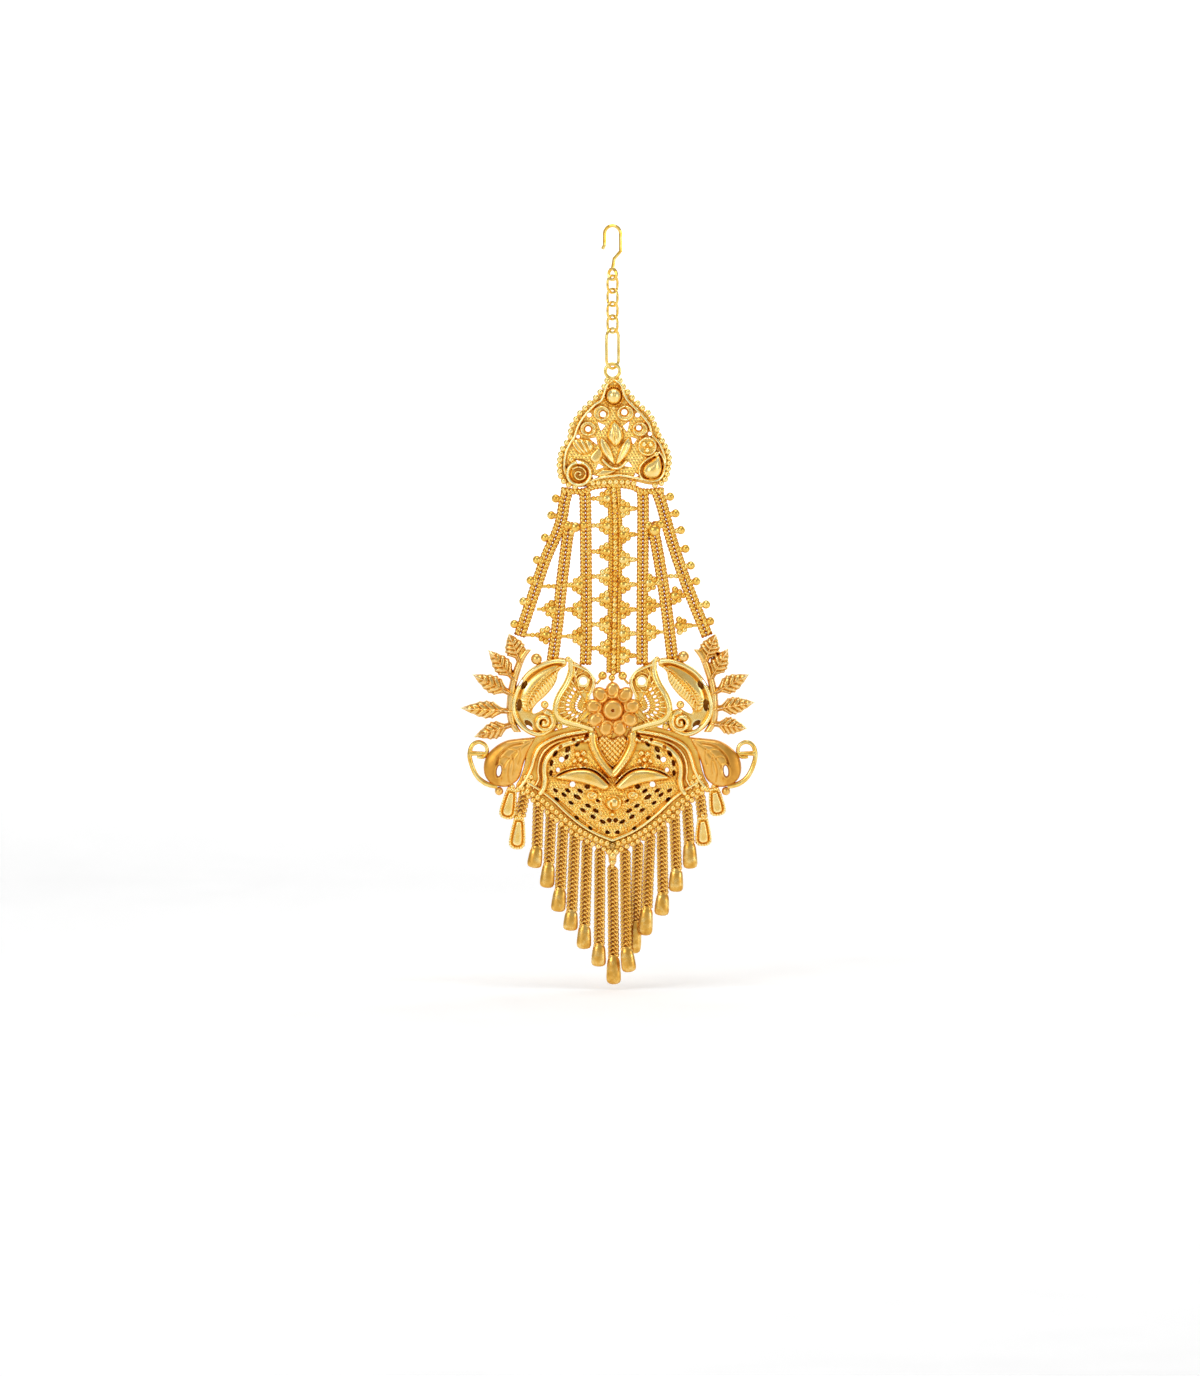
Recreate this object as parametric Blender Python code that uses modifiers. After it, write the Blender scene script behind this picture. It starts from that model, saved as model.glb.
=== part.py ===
"""A gold jhoomar: a pierced side-head ornament that hangs by a short chain from a hair hook.

Metres, +Z up. The front faces -Y. The origin is where the hook bears on what holds it.
"""

import math

import bmesh
import bpy
from mathutils import Matrix, Vector

MM = 0.001
GAP = 0.3 * MM
WELD = 0.002 * MM
FLAT_ANGLE = math.radians(1)

# Chain and hook
LINK_LENGTH = 4.0 * MM
LINK_WIDTH = 3.35 * MM
LINK_WIRE = 0.55 * MM
LINK_COUNT = 4
LINK_PLAY = 0.25 * MM
OVAL_LENGTH = 8.6 * MM
OVAL_WIDTH = 4.4 * MM
OVAL_WIRE = 0.62 * MM
OVAL_TURN = math.radians(50)
BAIL_OUTER = 3.6 * MM
BAIL_WIRE = 0.72 * MM
HOOK_WIRE = 0.8 * MM
HOOK_INNER = 2.4 * MM
HOOK_DROP = 5.0 * MM
EYE_OUTER = 2.9 * MM
EYE_WIRE = 0.7 * MM

# Crest, lattice, medallion and fringe: where the crest starts below the bearing point, and sizes
CREST_TOP = -30.0 * MM
CREST_HEIGHT = 21.6 * MM
CREST_HALF_WIDTH = 11.46 * MM
FAN_HEIGHT = 37.2 * MM
FAN_HALF_WIDTH = 18.0 * MM
MEDALLION_RISE = 0.6 * MM
BODY_HEIGHT = 39.0 * MM
BODY_HALF_WIDTH = 25.8 * MM
FRINGE_HEIGHT = 40.4 * MM
# Where the fringe starts on the medallion's height, and its share of the medallion's half width
FRINGE_START = 0.656
FRINGE_SPREAD = 0.822

# Plates, wires and beads
PLATE = 0.8 * MM
PLATE_STEP = 0.05 * MM
RIM_WIRE = 1.3 * MM
EDGE_WIRE = 0.9 * MM
STRIP_WIRE = 1.2 * MM
STRIP_WIDTH = 2.3 * MM
PIN_WIRE = 0.6 * MM
CLUSTER = 2.0 * MM
BOSS_SEAT = 0.2 * MM
POD_BACK = 0.5 * MM
POD_RISE = 1.6 * MM
SLIT = 0.85
KNOB = 1.8 * MM
SCROLL_RISE = 1.9 * MM
SHIELD_KNOB = 3.0 * MM
SHIELD_KNOB_RISE = 2.2 * MM
STEM_WIRE = 1.0 * MM
ROSETTE = 10.6 * MM
ROSETTE_PETALS = 9
ROSETTE_BACK = -1.3 * MM
ROSETTE_DOME_RISE = 2.4 * MM
STRAND = 1.8 * MM
STRAND_DEPTH = -0.3 * MM
DROP_WIDTH = 3.1 * MM
DROP_FLATNESS = 0.6
PANEL_DROP_WIDTH = 3.2 * MM
PANEL_DROP_DEPTH = 1.4 * MM

WIRE_SIDES = 6
BEAD_SIDES = 8
DROP_SIDES = 10

PALE_GOLD = (0.86, 0.60, 0.25)
GOLD = (0.83, 0.50, 0.15)
DEEP_GOLD = (0.72, 0.39, 0.10)

# Crest outline, left half from the top: share of half width, share of height
CREST_EDGE = [
    (0.00, 0.00), (0.14, 0.005), (0.21, 0.07), (0.29, 0.115), (0.36, 0.19), (0.44, 0.225),
    (0.64, 0.315), (0.78, 0.44), (0.89, 0.61), (1.00, 0.75), (1.00, 0.82), (0.97, 0.905),
    (0.89, 0.97), (0.73, 1.00), (0.52, 0.99), (0.38, 0.96), (0.19, 0.945), (0.00, 0.94),
]
# Gaps of the crest, both sides: x share, z share, width mm, height mm, turn in degrees
CREST_GAPS = [
    (0.18, 0.33, 1.1, 1.1, 0), (0.45, 0.47, 1.0, 1.0, 0), (0.22, 0.447, 1.4, 1.7, 20),
    (0.345, 0.58, 1.4, 1.1, -25), (0.26, 0.81, 1.4, 1.0, 30), (0.35, 0.905, 1.0, 0.6, 15),
    (0.42, 0.343, 0.8, 0.9, 45), (0.625, 0.53, 0.8, 0.9, 30),
]
# Lotus petals of the crest: base x, base z, tip x, tip z, width mm
LOTUS_PETALS = [
    (0.04, 0.63, 0.01, 0.394, 2.6), (0.01, 0.80, -0.22, 0.564, 1.6), (0.04, 0.81, 0.26, 0.564, 1.6),
]
# Bosses of the crest: x share, z share, width mm, height mm, rise mm
CREST_BOSSES = [
    (0.00, 0.17, 3.4, 3.4, 1.5), (0.58, 0.63, 3.4, 3.4, 1.2), (-0.61, 0.616, 3.2, 3.0, 1.1),
    (0.67, 0.845, 4.2, 4.6, 1.6),
]
SPIRAL_CUP = (-0.616, 0.87, 5.0)

# Strips of the fan, from its top: each row is one strip, as x share and z share of its points
FAN_STRIPS = {
    "outer_left": [(-0.50, 0.10), (-0.535, 0.16), (-0.56, 0.24), (-0.62, 0.33), (-0.74, 0.46),
                   (-0.86, 0.63), (-0.98, 0.81)],
    "mid_left": [(-0.47, 0.27), (-0.50, 0.35), (-0.56, 0.58), (-0.61, 0.81), (-0.66, 0.99)],
    "inner_left": [(-0.31, 0.10), (-0.30, 0.20), (-0.29, 0.81), (-0.30, 1.005)],
    "centre": [(0.01, 0.066), (0.03, 0.26), (0.03, 0.53), (0.01, 1.08)],
    "inner_right": [(0.33, 0.10), (0.34, 0.20), (0.33, 0.81), (0.33, 1.000)],
    "mid_right": [(0.44, 0.27), (0.51, 0.45), (0.57, 0.63), (0.62, 0.81), (0.66, 0.985)],
    "outer_right": [(0.49, 0.10), (0.545, 0.17), (0.66, 0.37), (0.83, 0.61), (1.00, 0.81)],
}
# Outline of a strip's two wires: share of half the strip's width, share of half a wire
STRIP_SECTION = [(1.0, 0.0), (0.75, 0.86), (0.25, 0.86), (0.0, 0.4), (-0.25, 0.86), (-0.75, 0.86),
                 (-1.0, 0.0), (-0.75, -0.86), (-0.25, -0.86), (0.0, -0.4), (0.25, -0.86), (0.75, -0.86)]
YOKE_MIDDLE = 0.066
FAN_YOKE = [(-0.55, 0.092), (-0.45, 0.101), (-0.32, 0.101), (-0.23, 0.080), (-0.11, 0.070),
            (0.01, YOKE_MIDDLE), (0.13, 0.070), (0.23, 0.080), (0.32, 0.101), (0.45, 0.101),
            (0.55, 0.092)]
# Cross pins with a cluster: from strip x, to strip x, cluster x, then the z share of each
FAN_PINS = [
    (-0.30, 0.02, -0.09, (0.14, 0.285, 0.425, 0.559, 0.683, 0.817, 0.945)),
    (0.33, 0.03, 0.13, (0.194, 0.333, 0.468, 0.602, 0.737, 0.866)),
    (-0.60, -0.30, -0.40, (0.60, 0.73, 0.87)),
    (0.33, 0.60, 0.45, (0.60, 0.715, 0.86)),
]
# Pins between the two outer strips of a side: z share, strip x, outer strip x, cluster x
FAN_OUTER_PINS = [
    (0.29, -0.29, -0.58, -0.41), (0.62, -0.56, -0.84, -0.74), (0.73, -0.58, -0.92, -0.72),
    (0.29, 0.33, 0.60, 0.44), (0.54, 0.53, 0.79, 0.65), (0.68, 0.58, 0.89, 0.72),
]
# Knobs on short stems outside the fan: x share, z share
FAN_KNOBS = [
    (-0.63, 0.14), (-0.68, 0.23), (-0.75, 0.35), (-0.84, 0.47), (-0.93, 0.585), (-1.00, 0.69),
    (-1.08, 0.78), (0.64, 0.13), (0.70, 0.22), (0.76, 0.31), (0.81, 0.41), (0.87, 0.50),
    (0.93, 0.585), (1.04, 0.71),
]

# Left half of the shield, from the middle of its top edge: x share, z share
SHIELD_EDGE = [
    (0.00, 0.41), (0.16, 0.40), (0.30, 0.385), (0.46, 0.39), (0.555, 0.42), (0.59, 0.47),
    (0.63, 0.54), (0.66, 0.595), (0.69, 0.65), (0.68, 0.69), (0.585, 0.73), (0.49, 0.78),
    (0.36, 0.855), (0.20, 0.94), (0.075, 0.985), (0.035, 1.02), (0.028, 1.07), (0.00, 1.082),
]
# Gaps of the shield, both sides: x share, z share, width mm, height mm, turn in degrees
SHIELD_GAPS = [
    (0.20, 0.420, 0.7, 1.3, 30), (0.27, 0.452, 0.8, 1.4, 40), (0.345, 0.485, 0.8, 1.4, 40),
    (0.40, 0.527, 0.8, 1.5, 25), (0.435, 0.577, 0.8, 1.4, 15), (0.20, 0.683, 1.0, 1.0, 0),
    (0.31, 0.692, 1.4, 0.9, 20), (0.41, 0.700, 1.2, 0.7, 30), (0.255, 0.722, 1.2, 0.7, 30),
    (0.36, 0.737, 1.4, 0.7, 30), (0.275, 0.768, 1.4, 0.7, 30), (0.19, 0.790, 1.3, 0.7, 30),
    (0.22, 0.830, 1.2, 0.6, 30), (0.12, 0.818, 1.2, 0.7, 25), (0.14, 0.862, 1.1, 0.6, 30),
    (0.04, 0.850, 0.9, 0.9, 0),
]
V_RIM = [(-0.685, 0.672), (-0.575, 0.700), (-0.48, 0.752), (-0.35, 0.828), (-0.19, 0.910),
         (0.00, 0.990)]
INNER_BAND = [(0.17, 0.415), (0.33, 0.422), (0.44, 0.450), (0.505, 0.500), (0.525, 0.565),
              (0.51, 0.62), (0.56, 0.690)]
OUTER_BAND = [(0.46, 0.395), (0.545, 0.425), (0.585, 0.48), (0.615, 0.54), (0.645, 0.60),
              (0.675, 0.66)]
V_BAND = [(-0.19, 0.410), (-0.18, 0.472), (-0.14, 0.538), (-0.07, 0.600), (0.00, 0.665)]
V_BAND_INNER = [(-0.155, 0.425), (-0.14, 0.475), (-0.10, 0.523), (-0.04, 0.565), (0.00, 0.605)]
HEART_EDGE = [(0.00, 0.445), (-0.04, 0.425), (-0.09, 0.425), (-0.125, 0.445), (-0.13, 0.475),
              (-0.09, 0.520), (-0.04, 0.558), (0.00, 0.592)]
WING = [
    (-0.02, 0.668), (-0.06, 0.615), (-0.12, 0.582), (-0.21, 0.572), (-0.31, 0.585),
    (-0.40, 0.618), (-0.48, 0.650), (-0.39, 0.648), (-0.29, 0.643), (-0.20, 0.650),
    (-0.11, 0.672), (-0.05, 0.692),
]
# Left arched window: edge, then its gaps as x, z, width mm, height mm, turn
WINDOW_EDGE = [
    (-0.345, 0.013), (-0.365, 0.067), (-0.385, 0.138), (-0.43, 0.200), (-0.45, 0.262),
    (-0.44, 0.318), (-0.41, 0.364), (-0.33, 0.390), (-0.24, 0.402), (-0.15, 0.402),
    (-0.14, 0.292), (-0.15, 0.231), (-0.14, 0.179), (-0.125, 0.144), (-0.16, 0.103),
    (-0.21, 0.055), (-0.28, 0.020),
]
WINDOW_GAPS = [
    (-0.232, 0.128, 1.2, 1.2, 0), (-0.30, 0.190, 0.9, 1.7, -35), (-0.345, 0.245, 0.9, 1.9, -60),
    (-0.345, 0.305, 0.9, 1.7, -100), (-0.275, 0.335, 0.9, 1.6, -150), (-0.255, 0.22, 0.9, 1.9, -15),
    (-0.265, 0.275, 0.8, 1.3, -90),
]
# Left feather scroll: edge, then its gaps
FEATHER_EDGE = [
    (-0.40, 0.025), (-0.51, 0.028), (-0.62, 0.062), (-0.69, 0.118), (-0.74, 0.185),
    (-0.75, 0.256), (-0.725, 0.318), (-0.68, 0.364), (-0.60, 0.392), (-0.53, 0.36),
    (-0.60, 0.303), (-0.58, 0.262), (-0.52, 0.226), (-0.48, 0.179), (-0.45, 0.133),
    (-0.44, 0.092), (-0.36, 0.075), (-0.355, 0.035),
]
FEATHER_GAPS = [(-0.655, 0.325, 1.6, 0.6, -50), (-0.670, 0.150, 0.5, 1.6, -27)]
SCROLL_EYE = (-0.54, 0.338, 4.7)
SCROLL_GRANULE = (-0.425, 0.375, 1.5)

# Leaf sprays, left then right: tip x, tip z, base x, base z, width mm
LEAVES = {
    "left": [(-0.806, -0.115, -0.717, 0.031, 3.4), (-0.966, -0.029, -0.765, 0.120, 3.0),
             (-1.091, 0.097, -0.793, 0.195, 3.0), (-1.188, 0.271, -0.805, 0.287, 3.0),
             (-1.078, 0.421, -0.790, 0.358, 3.0)],
    "right": [(-0.802, -0.113, -0.717, 0.031, 3.4), (-0.900, -0.038, -0.765, 0.115, 3.0),
              (-1.064, 0.097, -0.793, 0.190, 3.0), (-1.109, 0.241, -0.805, 0.275, 3.0),
              (-1.050, 0.377, -0.790, 0.352, 3.0)],
}
SPRAY_STEM = [(-0.680, -0.020), (-0.735, 0.067), (-0.790, 0.159), (-0.808, 0.262),
              (-0.790, 0.344), (-0.745, 0.395)]
# One leaf: share of its length, share of half its width
LEAF_SHAPE = [(0.0, 0.20), (0.18, 0.42), (0.34, 0.92), (0.46, 0.66), (0.60, 1.0), (0.70, 0.60),
              (0.84, 0.62), (1.0, 0.0)]

# Pods: edge, slot, and curl wire from the pod outward
POD_EDGE = [
    (-0.640, 0.445), (-0.717, 0.430), (-0.826, 0.441), (-0.919, 0.477), (-0.981, 0.523),
    (-1.000, 0.579), (-0.981, 0.631), (-0.919, 0.667), (-0.826, 0.672), (-0.756, 0.646),
    (-0.720, 0.600), (-0.688, 0.544), (-0.655, 0.487),
]
POD_SLOT = (-0.895, 0.590, 1.0, 2.6, 5)
CURL_WIRE = [(-0.91, 0.672), (-1.00, 0.655), (-1.060, 0.605), (-1.095, 0.549), (-1.105, 0.497),
             (-1.075, 0.456), (-1.019, 0.448), (-0.975, 0.480)]

# Fringe from left to right: strand top x; drop top x, z; drop end x, z; depth mm
FRINGE = [
    (-0.832, -0.877, 0.163, -0.908, 0.330, 0.0), (-0.700, -0.712, 0.314, -0.742, 0.421, 0.0),
    (-0.580, -0.599, 0.394, -0.622, 0.520, 0.0), (-0.467, -0.493, 0.520, -0.516, 0.639, 0.0),
    (-0.355, -0.385, 0.630, -0.400, 0.733, 0.0), (-0.240, -0.262, 0.703, -0.272, 0.824, 0.0),
    (-0.118, -0.125, 0.797, -0.133, 0.911, 0.0), (0.003, 0.010, 0.856, 0.012, 0.999, 0.0),
    (0.120, 0.130, 0.812, 0.160, 0.936, -1.3), (0.240, 0.218, 0.690, 0.195, 0.847, 0.9),
    (0.355, 0.325, 0.614, 0.305, 0.756, 0.0), (0.467, 0.476, 0.544, 0.461, 0.658, 0.0),
    (0.585, 0.604, 0.425, 0.596, 0.540, 0.0), (0.703, 0.725, 0.291, 0.735, 0.425, 0.0),
    (0.826, 0.850, 0.164, 0.860, 0.314, 0.0),
]
# Drops that hang from the pods with no strand: top x, z; end x, z
POD_DROPS = {"drop_01": (-0.945, 0.020, -1.005, 0.180), "drop_17": (0.955, 0.020, 1.003, 0.164)}
PANELLED = ("drop_01", "drop_02", "drop_16", "drop_17")
# A drop's turned outer side: share of half its width, share of its length
DROP_SHAPE = [(0.0, 0.0), (0.42, 0.02), (0.36, 0.13), (0.62, 0.36), (0.96, 0.70), (0.88, 0.86),
              (0.48, 0.97), (0.0, 1.0)]
# A panelled drop's outline: share of half its width, share of its length
PANEL_SHAPE = [(0.30, 0.0), (0.50, 0.16), (0.72, 0.45), (1.0, 0.74), (0.86, 0.90), (0.45, 0.985)]

for thing in list(bpy.data.objects):
    bpy.data.objects.remove(thing)
jewel = bpy.data.collections.new("jhoomar")
bpy.context.scene.collection.children.link(jewel)
helpers = bpy.data.collections.new("helpers")
helpers.hide_render = True
bpy.context.scene.collection.children.link(helpers)

# Each part of the pendant starts from the end of the one above it
fan_top = CREST_TOP - CREST_EDGE[-1][1] * CREST_HEIGHT - GAP - STRIP_WIRE * 0.6 + YOKE_MIDDLE * FAN_HEIGHT
body_top = fan_top - FAN_HEIGHT + MEDALLION_RISE
fringe_top = body_top - FRINGE_START * BODY_HEIGHT
fringe_half_width = FRINGE_SPREAD * BODY_HALF_WIDTH


def gold(name, tone, roughness):
    """A material of its own for one piece."""
    material = bpy.data.materials.new(name + "_gold")
    material.use_nodes = True
    shader = material.node_tree.nodes["Principled BSDF"]
    shader.inputs["Base Color"].default_value = (*tone, 1.0)
    shader.inputs["Metallic"].default_value = 1.0
    shader.inputs["Roughness"].default_value = roughness
    return material


def piece(name, data, tone=GOLD, roughness=0.3, carrier=None):
    """A named object of the jewel, shaded smooth and carried by an empty."""
    data.materials.clear()
    data.materials.append(gold(name, tone, roughness))
    made = bpy.data.objects.new(name, data)
    jewel.objects.link(made)
    if carrier:
        made.parent = carrier
        made.matrix_parent_inverse = carrier.matrix_basis.inverted()
    return made


def baked(data):
    """The closed mesh that a curve makes, its end caps welded on."""
    guide = bpy.data.objects.new("guide", data)
    helpers.objects.link(guide)
    bpy.context.view_layer.update()
    graph = bpy.context.evaluated_depsgraph_get()
    mesh = bpy.data.meshes.new_from_object(guide.evaluated_get(graph))
    bpy.data.objects.remove(guide)
    body = bmesh.new()
    body.from_mesh(mesh)
    bmesh.ops.remove_doubles(body, verts=body.verts, dist=WELD)
    bmesh.ops.recalc_face_normals(body, faces=body.faces)
    body.to_mesh(mesh)
    body.free()
    return mesh


def wire_curve(points, width, closed=False, sides=WIRE_SIDES):
    """A round wire through points, as a curve with a bevel."""
    curve = bpy.data.curves.new("wire", "CURVE")
    curve.dimensions = "3D"
    curve.bevel_depth = width / 2
    curve.bevel_resolution = (sides - 4) // 2
    curve.use_fill_caps = True
    spline = curve.splines.new("POLY")
    spline.points.add(len(points) - 1)
    for point, place in zip(spline.points, points):
        point.co = (*place, 1.0)
    spline.use_cyclic_u = closed
    spline.use_smooth = True
    return curve


def wire(points, width, closed=False, sides=WIRE_SIDES):
    return baked(wire_curve(points, width, closed, sides))


def strip(points, section):
    """Two wires soldered side by side, as one curve with their outline for a bevel."""
    curve = bpy.data.curves.new("strip", "CURVE")
    curve.dimensions = "2D"
    curve.fill_mode = "NONE"
    curve.bevel_mode = "OBJECT"
    curve.bevel_object = section
    curve.use_fill_caps = True
    spline = curve.splines.new("POLY")
    spline.points.add(len(points) - 1)
    for point, (x, z) in zip(spline.points, points):
        point.co = (x, z, 0.0, 1.0)
    mesh = baked(curve)
    mesh.transform(Matrix.Rotation(math.pi / 2, 4, "X"))
    return mesh


def plate(edge, gaps, back, front):
    """A flat pierced plate between two depths, its edge and gaps given as x and z."""
    curve = bpy.data.curves.new("plate", "CURVE")
    curve.dimensions = "2D"
    curve.fill_mode = "BOTH"
    curve.extrude = (back - front) / 2
    for ring in [edge, *gaps]:
        spline = curve.splines.new("POLY")
        spline.points.add(len(ring) - 1)
        for point, (x, z) in zip(spline.points, ring):
            point.co = (x, z, 0.0, 1.0)
        spline.use_cyclic_u = True
    mesh = baked(curve)
    stand = Matrix.Translation((0, (back + front) / 2, 0)) @ Matrix.Rotation(math.pi / 2, 4, "X")
    mesh.transform(stand)
    return mesh


def bead(place, width, height, depth, sides=BEAD_SIDES, rings=5, seat=None):
    """A ball, or a domed boss with a flat back at the depth of its seat."""
    mesh = bpy.data.meshes.new("bead")
    body = bmesh.new()
    shape = Matrix.Translation(place) @ Matrix.Diagonal((width / 2, depth / 2, height / 2, 1.0))
    upright = Matrix.Rotation(math.pi / 2, 4, "X")
    bmesh.ops.create_uvsphere(body, u_segments=sides, v_segments=rings, radius=1.0, matrix=shape @ upright)
    if seat is not None:
        geometry = [*body.verts, *body.edges, *body.faces]
        at, facing = (0, seat, 0), (0, 1, 0)
        bmesh.ops.bisect_plane(body, geom=geometry, plane_co=at, plane_no=facing, clear_outer=True)
        bmesh.ops.holes_fill(body, edges=body.edges)
    bmesh.ops.recalc_face_normals(body, faces=body.faces)
    body.to_mesh(mesh)
    body.free()
    return mesh


def fused(meshes):
    """One closed body from overlapping ones, as solder makes it."""
    others = bpy.data.collections.new("others")
    helpers.children.link(others)
    base = bpy.data.objects.new("base", meshes[0])
    helpers.objects.link(base)
    for mesh in meshes[1:]:
        others.objects.link(bpy.data.objects.new("other", mesh))
    union = base.modifiers.new("Solder", "BOOLEAN")
    union.operation = "UNION"
    union.solver = "EXACT"
    union.operand_type = "COLLECTION"
    union.collection = others
    bpy.context.view_layer.update()
    graph = bpy.context.evaluated_depsgraph_get()
    mesh = bpy.data.meshes.new_from_object(base.evaluated_get(graph))
    for helper in [base, *others.objects]:
        bpy.data.objects.remove(helper)
    bpy.data.collections.remove(others)
    body = bmesh.new()
    body.from_mesh(mesh)
    bmesh.ops.remove_doubles(body, verts=body.verts, dist=WELD)
    bmesh.ops.dissolve_limit(body, angle_limit=FLAT_ANGLE, verts=body.verts, edges=body.edges)
    bmesh.ops.triangulate(body, faces=body.faces)
    bmesh.ops.dissolve_degenerate(body, edges=body.edges, dist=WELD)
    bmesh.ops.triangulate(body, faces=body.faces)
    loose = [edge for edge in body.edges if not edge.link_faces]
    bmesh.ops.delete(body, geom=loose, context="EDGES")
    body.to_mesh(mesh)
    body.free()
    return mesh


def flipped(meshes):
    """Copies of meshes on the other side of the middle."""
    copies = []
    for mesh in meshes:
        copy = mesh.copy()
        copy.transform(Matrix.Scale(-1, 4, (1, 0, 0)))
        copy.flip_normals()
        copies.append(copy)
    return copies


def crest_at(x, z):
    return (x * CREST_HALF_WIDTH, CREST_TOP - z * CREST_HEIGHT)


def fan_at(x, z):
    return (x * FAN_HALF_WIDTH, fan_top - z * FAN_HEIGHT)


def body_at(x, z):
    return (x * BODY_HALF_WIDTH, body_top - z * BODY_HEIGHT)


def fringe_at(x, z):
    return (x * fringe_half_width, fringe_top - z * FRINGE_HEIGHT)


def under_shield(x):
    """Height of the shield's lower edge at x, which its rows give from the side corner to the tip."""
    share = abs(x) / BODY_HALF_WIDTH
    corner = max(range(len(SHIELD_EDGE)), key=lambda row: SHIELD_EDGE[row][0])
    for (outer, high), (inner, low) in zip(SHIELD_EDGE[corner:], SHIELD_EDGE[corner + 1:]):
        if inner <= share <= outer:
            return body_at(0, high + (low - high) * (outer - share) / (outer - inner))[1]
    return body_at(0, SHIELD_EDGE[corner][1])[1]


def places(rows, at, depth=0.0, side=1):
    """Wire points at one depth from x and z shares."""
    flat = [at(x * side, z) for x, z in rows]
    return [(x, depth, z) for x, z in flat]


def outline(rows, at, side=1):
    return [at(x * side, z) for x, z in rows]


def both_halves(rows, at):
    """A closed outline from its left half, whose first and last points lie on the middle."""
    left = [(-abs(x), z) for x, z in rows]
    right = [(abs(x), z) for x, z in rows[-2:0:-1]]
    return outline(left + right, at)


def oval_gap(x, z, width, height, turn, at):
    """A six-sided gap of a plate, or a lozenge where it is a slit, its width and height in mm."""
    corners = 4 if min(width, height) < SLIT else 6
    middle = Vector(at(x, z))
    ring = []
    for corner in range(corners):
        angle = 2 * math.pi * corner / corners
        point = Vector((math.cos(angle) * width * MM / 2, math.sin(angle) * height * MM / 2))
        point.rotate(Matrix.Rotation(math.radians(turn), 2))
        ring.append(tuple(middle + point))
    return ring


def gaps_of(rows, at, sides=(1,)):
    return [
        oval_gap(x * side, z, width, height, turn * side, at)
        for side in sides
        for x, z, width, height, turn in rows
    ]


def leaf(base, tip, width, back, front):
    """A lobed leaf plate with a midrib, from its base to its tip."""
    start = Vector(base)
    along = Vector(tip) - start
    across = Vector((-along.y, along.x)).normalized() * width / 2
    left = [tuple(start + along * share + across * spread) for share, spread in LEAF_SHAPE]
    right = [tuple(start + along * share - across * spread) for share, spread in LEAF_SHAPE[-2::-1]]
    rib = [start - along * 0.06, start + along * 0.5, start + along * 0.93]
    ridge = [(point.x, front, point.y) for point in rib]
    return [plate(left + right, [], back, front), wire(ridge, STEM_WIRE * 0.7, sides=4)]


def ring_points(middle, radius, count, turn=0.0, stretch=1.0):
    """Points of an upright ring, turned about its own height."""
    points = []
    for step in range(count):
        angle = 2 * math.pi * step / count
        flat = math.cos(angle) * radius
        height = math.sin(angle) * radius * stretch
        points.append((
            middle[0] + flat * math.cos(turn),
            middle[1] + flat * math.sin(turn),
            middle[2] + height,
        ))
    return points


def link_points(middle, length, width, wire_width, turn):
    """Centre line of an oval link: two half rounds and two straight sides."""
    radius = (width - wire_width) / 2
    rise = (length - wire_width) / 2 - radius
    points = []
    for step in range(12):
        angle = math.pi * (step + 0.5) / 6
        flat = math.cos(angle) * radius
        height = math.sin(angle) * radius + math.copysign(rise, math.sin(angle))
        points.append((flat * math.cos(turn), flat * math.sin(turn), middle + height))
    return points


# Where the pendant swings: the middle of the oval link's lower wire, inside the bail ring
bail_radius = (BAIL_OUTER - BAIL_WIRE) / 2
bail_middle = CREST_TOP + bail_radius - BAIL_WIRE * 0.1
pivot_height = bail_middle + bail_radius - (BAIL_WIRE + OVAL_WIRE) / 2 - GAP * 0.8
oval_middle = pivot_height + (OVAL_LENGTH - OVAL_WIRE) / 2
oval_top_wire = oval_middle + (OVAL_LENGTH - OVAL_WIRE) / 2
lowest_link = oval_top_wire - (OVAL_WIRE + LINK_WIRE) / 2 - LINK_PLAY + (LINK_LENGTH - LINK_WIRE) / 2
link_pitch = LINK_LENGTH - 2 * LINK_WIRE - LINK_PLAY
top_link = lowest_link + (LINK_COUNT - 1) * link_pitch
eye_radius = (EYE_OUTER - EYE_WIRE) / 2
eye_middle = (
    top_link + (LINK_LENGTH - LINK_WIRE) / 2 - (EYE_WIRE + LINK_WIRE) / 2 - LINK_PLAY + eye_radius
)

hook_mount = bpy.data.objects.new("hook_mount", None)
jewel.objects.link(hook_mount)
pendant_pivot = bpy.data.objects.new("pendant_pivot", None)
pendant_pivot.location = (0, 0, pivot_height)
pendant_pivot.parent = hook_mount
jewel.objects.link(pendant_pivot)

# Hair hook: an eye and a round bend, its free end turned out a little
bend_radius = (HOOK_INNER + HOOK_WIRE) / 2
bend_middle = HOOK_WIRE / 2 - bend_radius
hook_points = [(0, 0, eye_middle + eye_radius), (0.2 * bend_radius, 0, bend_middle - HOOK_DROP)]
hook_points.append((bend_radius, 0, bend_middle - HOOK_DROP * 0.7))
for step in range(9):
    angle = math.pi * step / 8
    hook_points.append((math.cos(angle) * bend_radius, 0, bend_middle + math.sin(angle) * bend_radius))
hook_points.append((-bend_radius, 0, bend_middle - HOOK_DROP * 0.45))
hook_points.append((-bend_radius * 1.25, 0, bend_middle - HOOK_DROP * 0.62))
eye = wire(ring_points((0, 0, eye_middle), eye_radius, 12, math.radians(-45)), EYE_WIRE, closed=True)
piece("hair_hook", fused([wire(hook_points, HOOK_WIRE), eye]), GOLD, 0.3, hook_mount)

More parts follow.
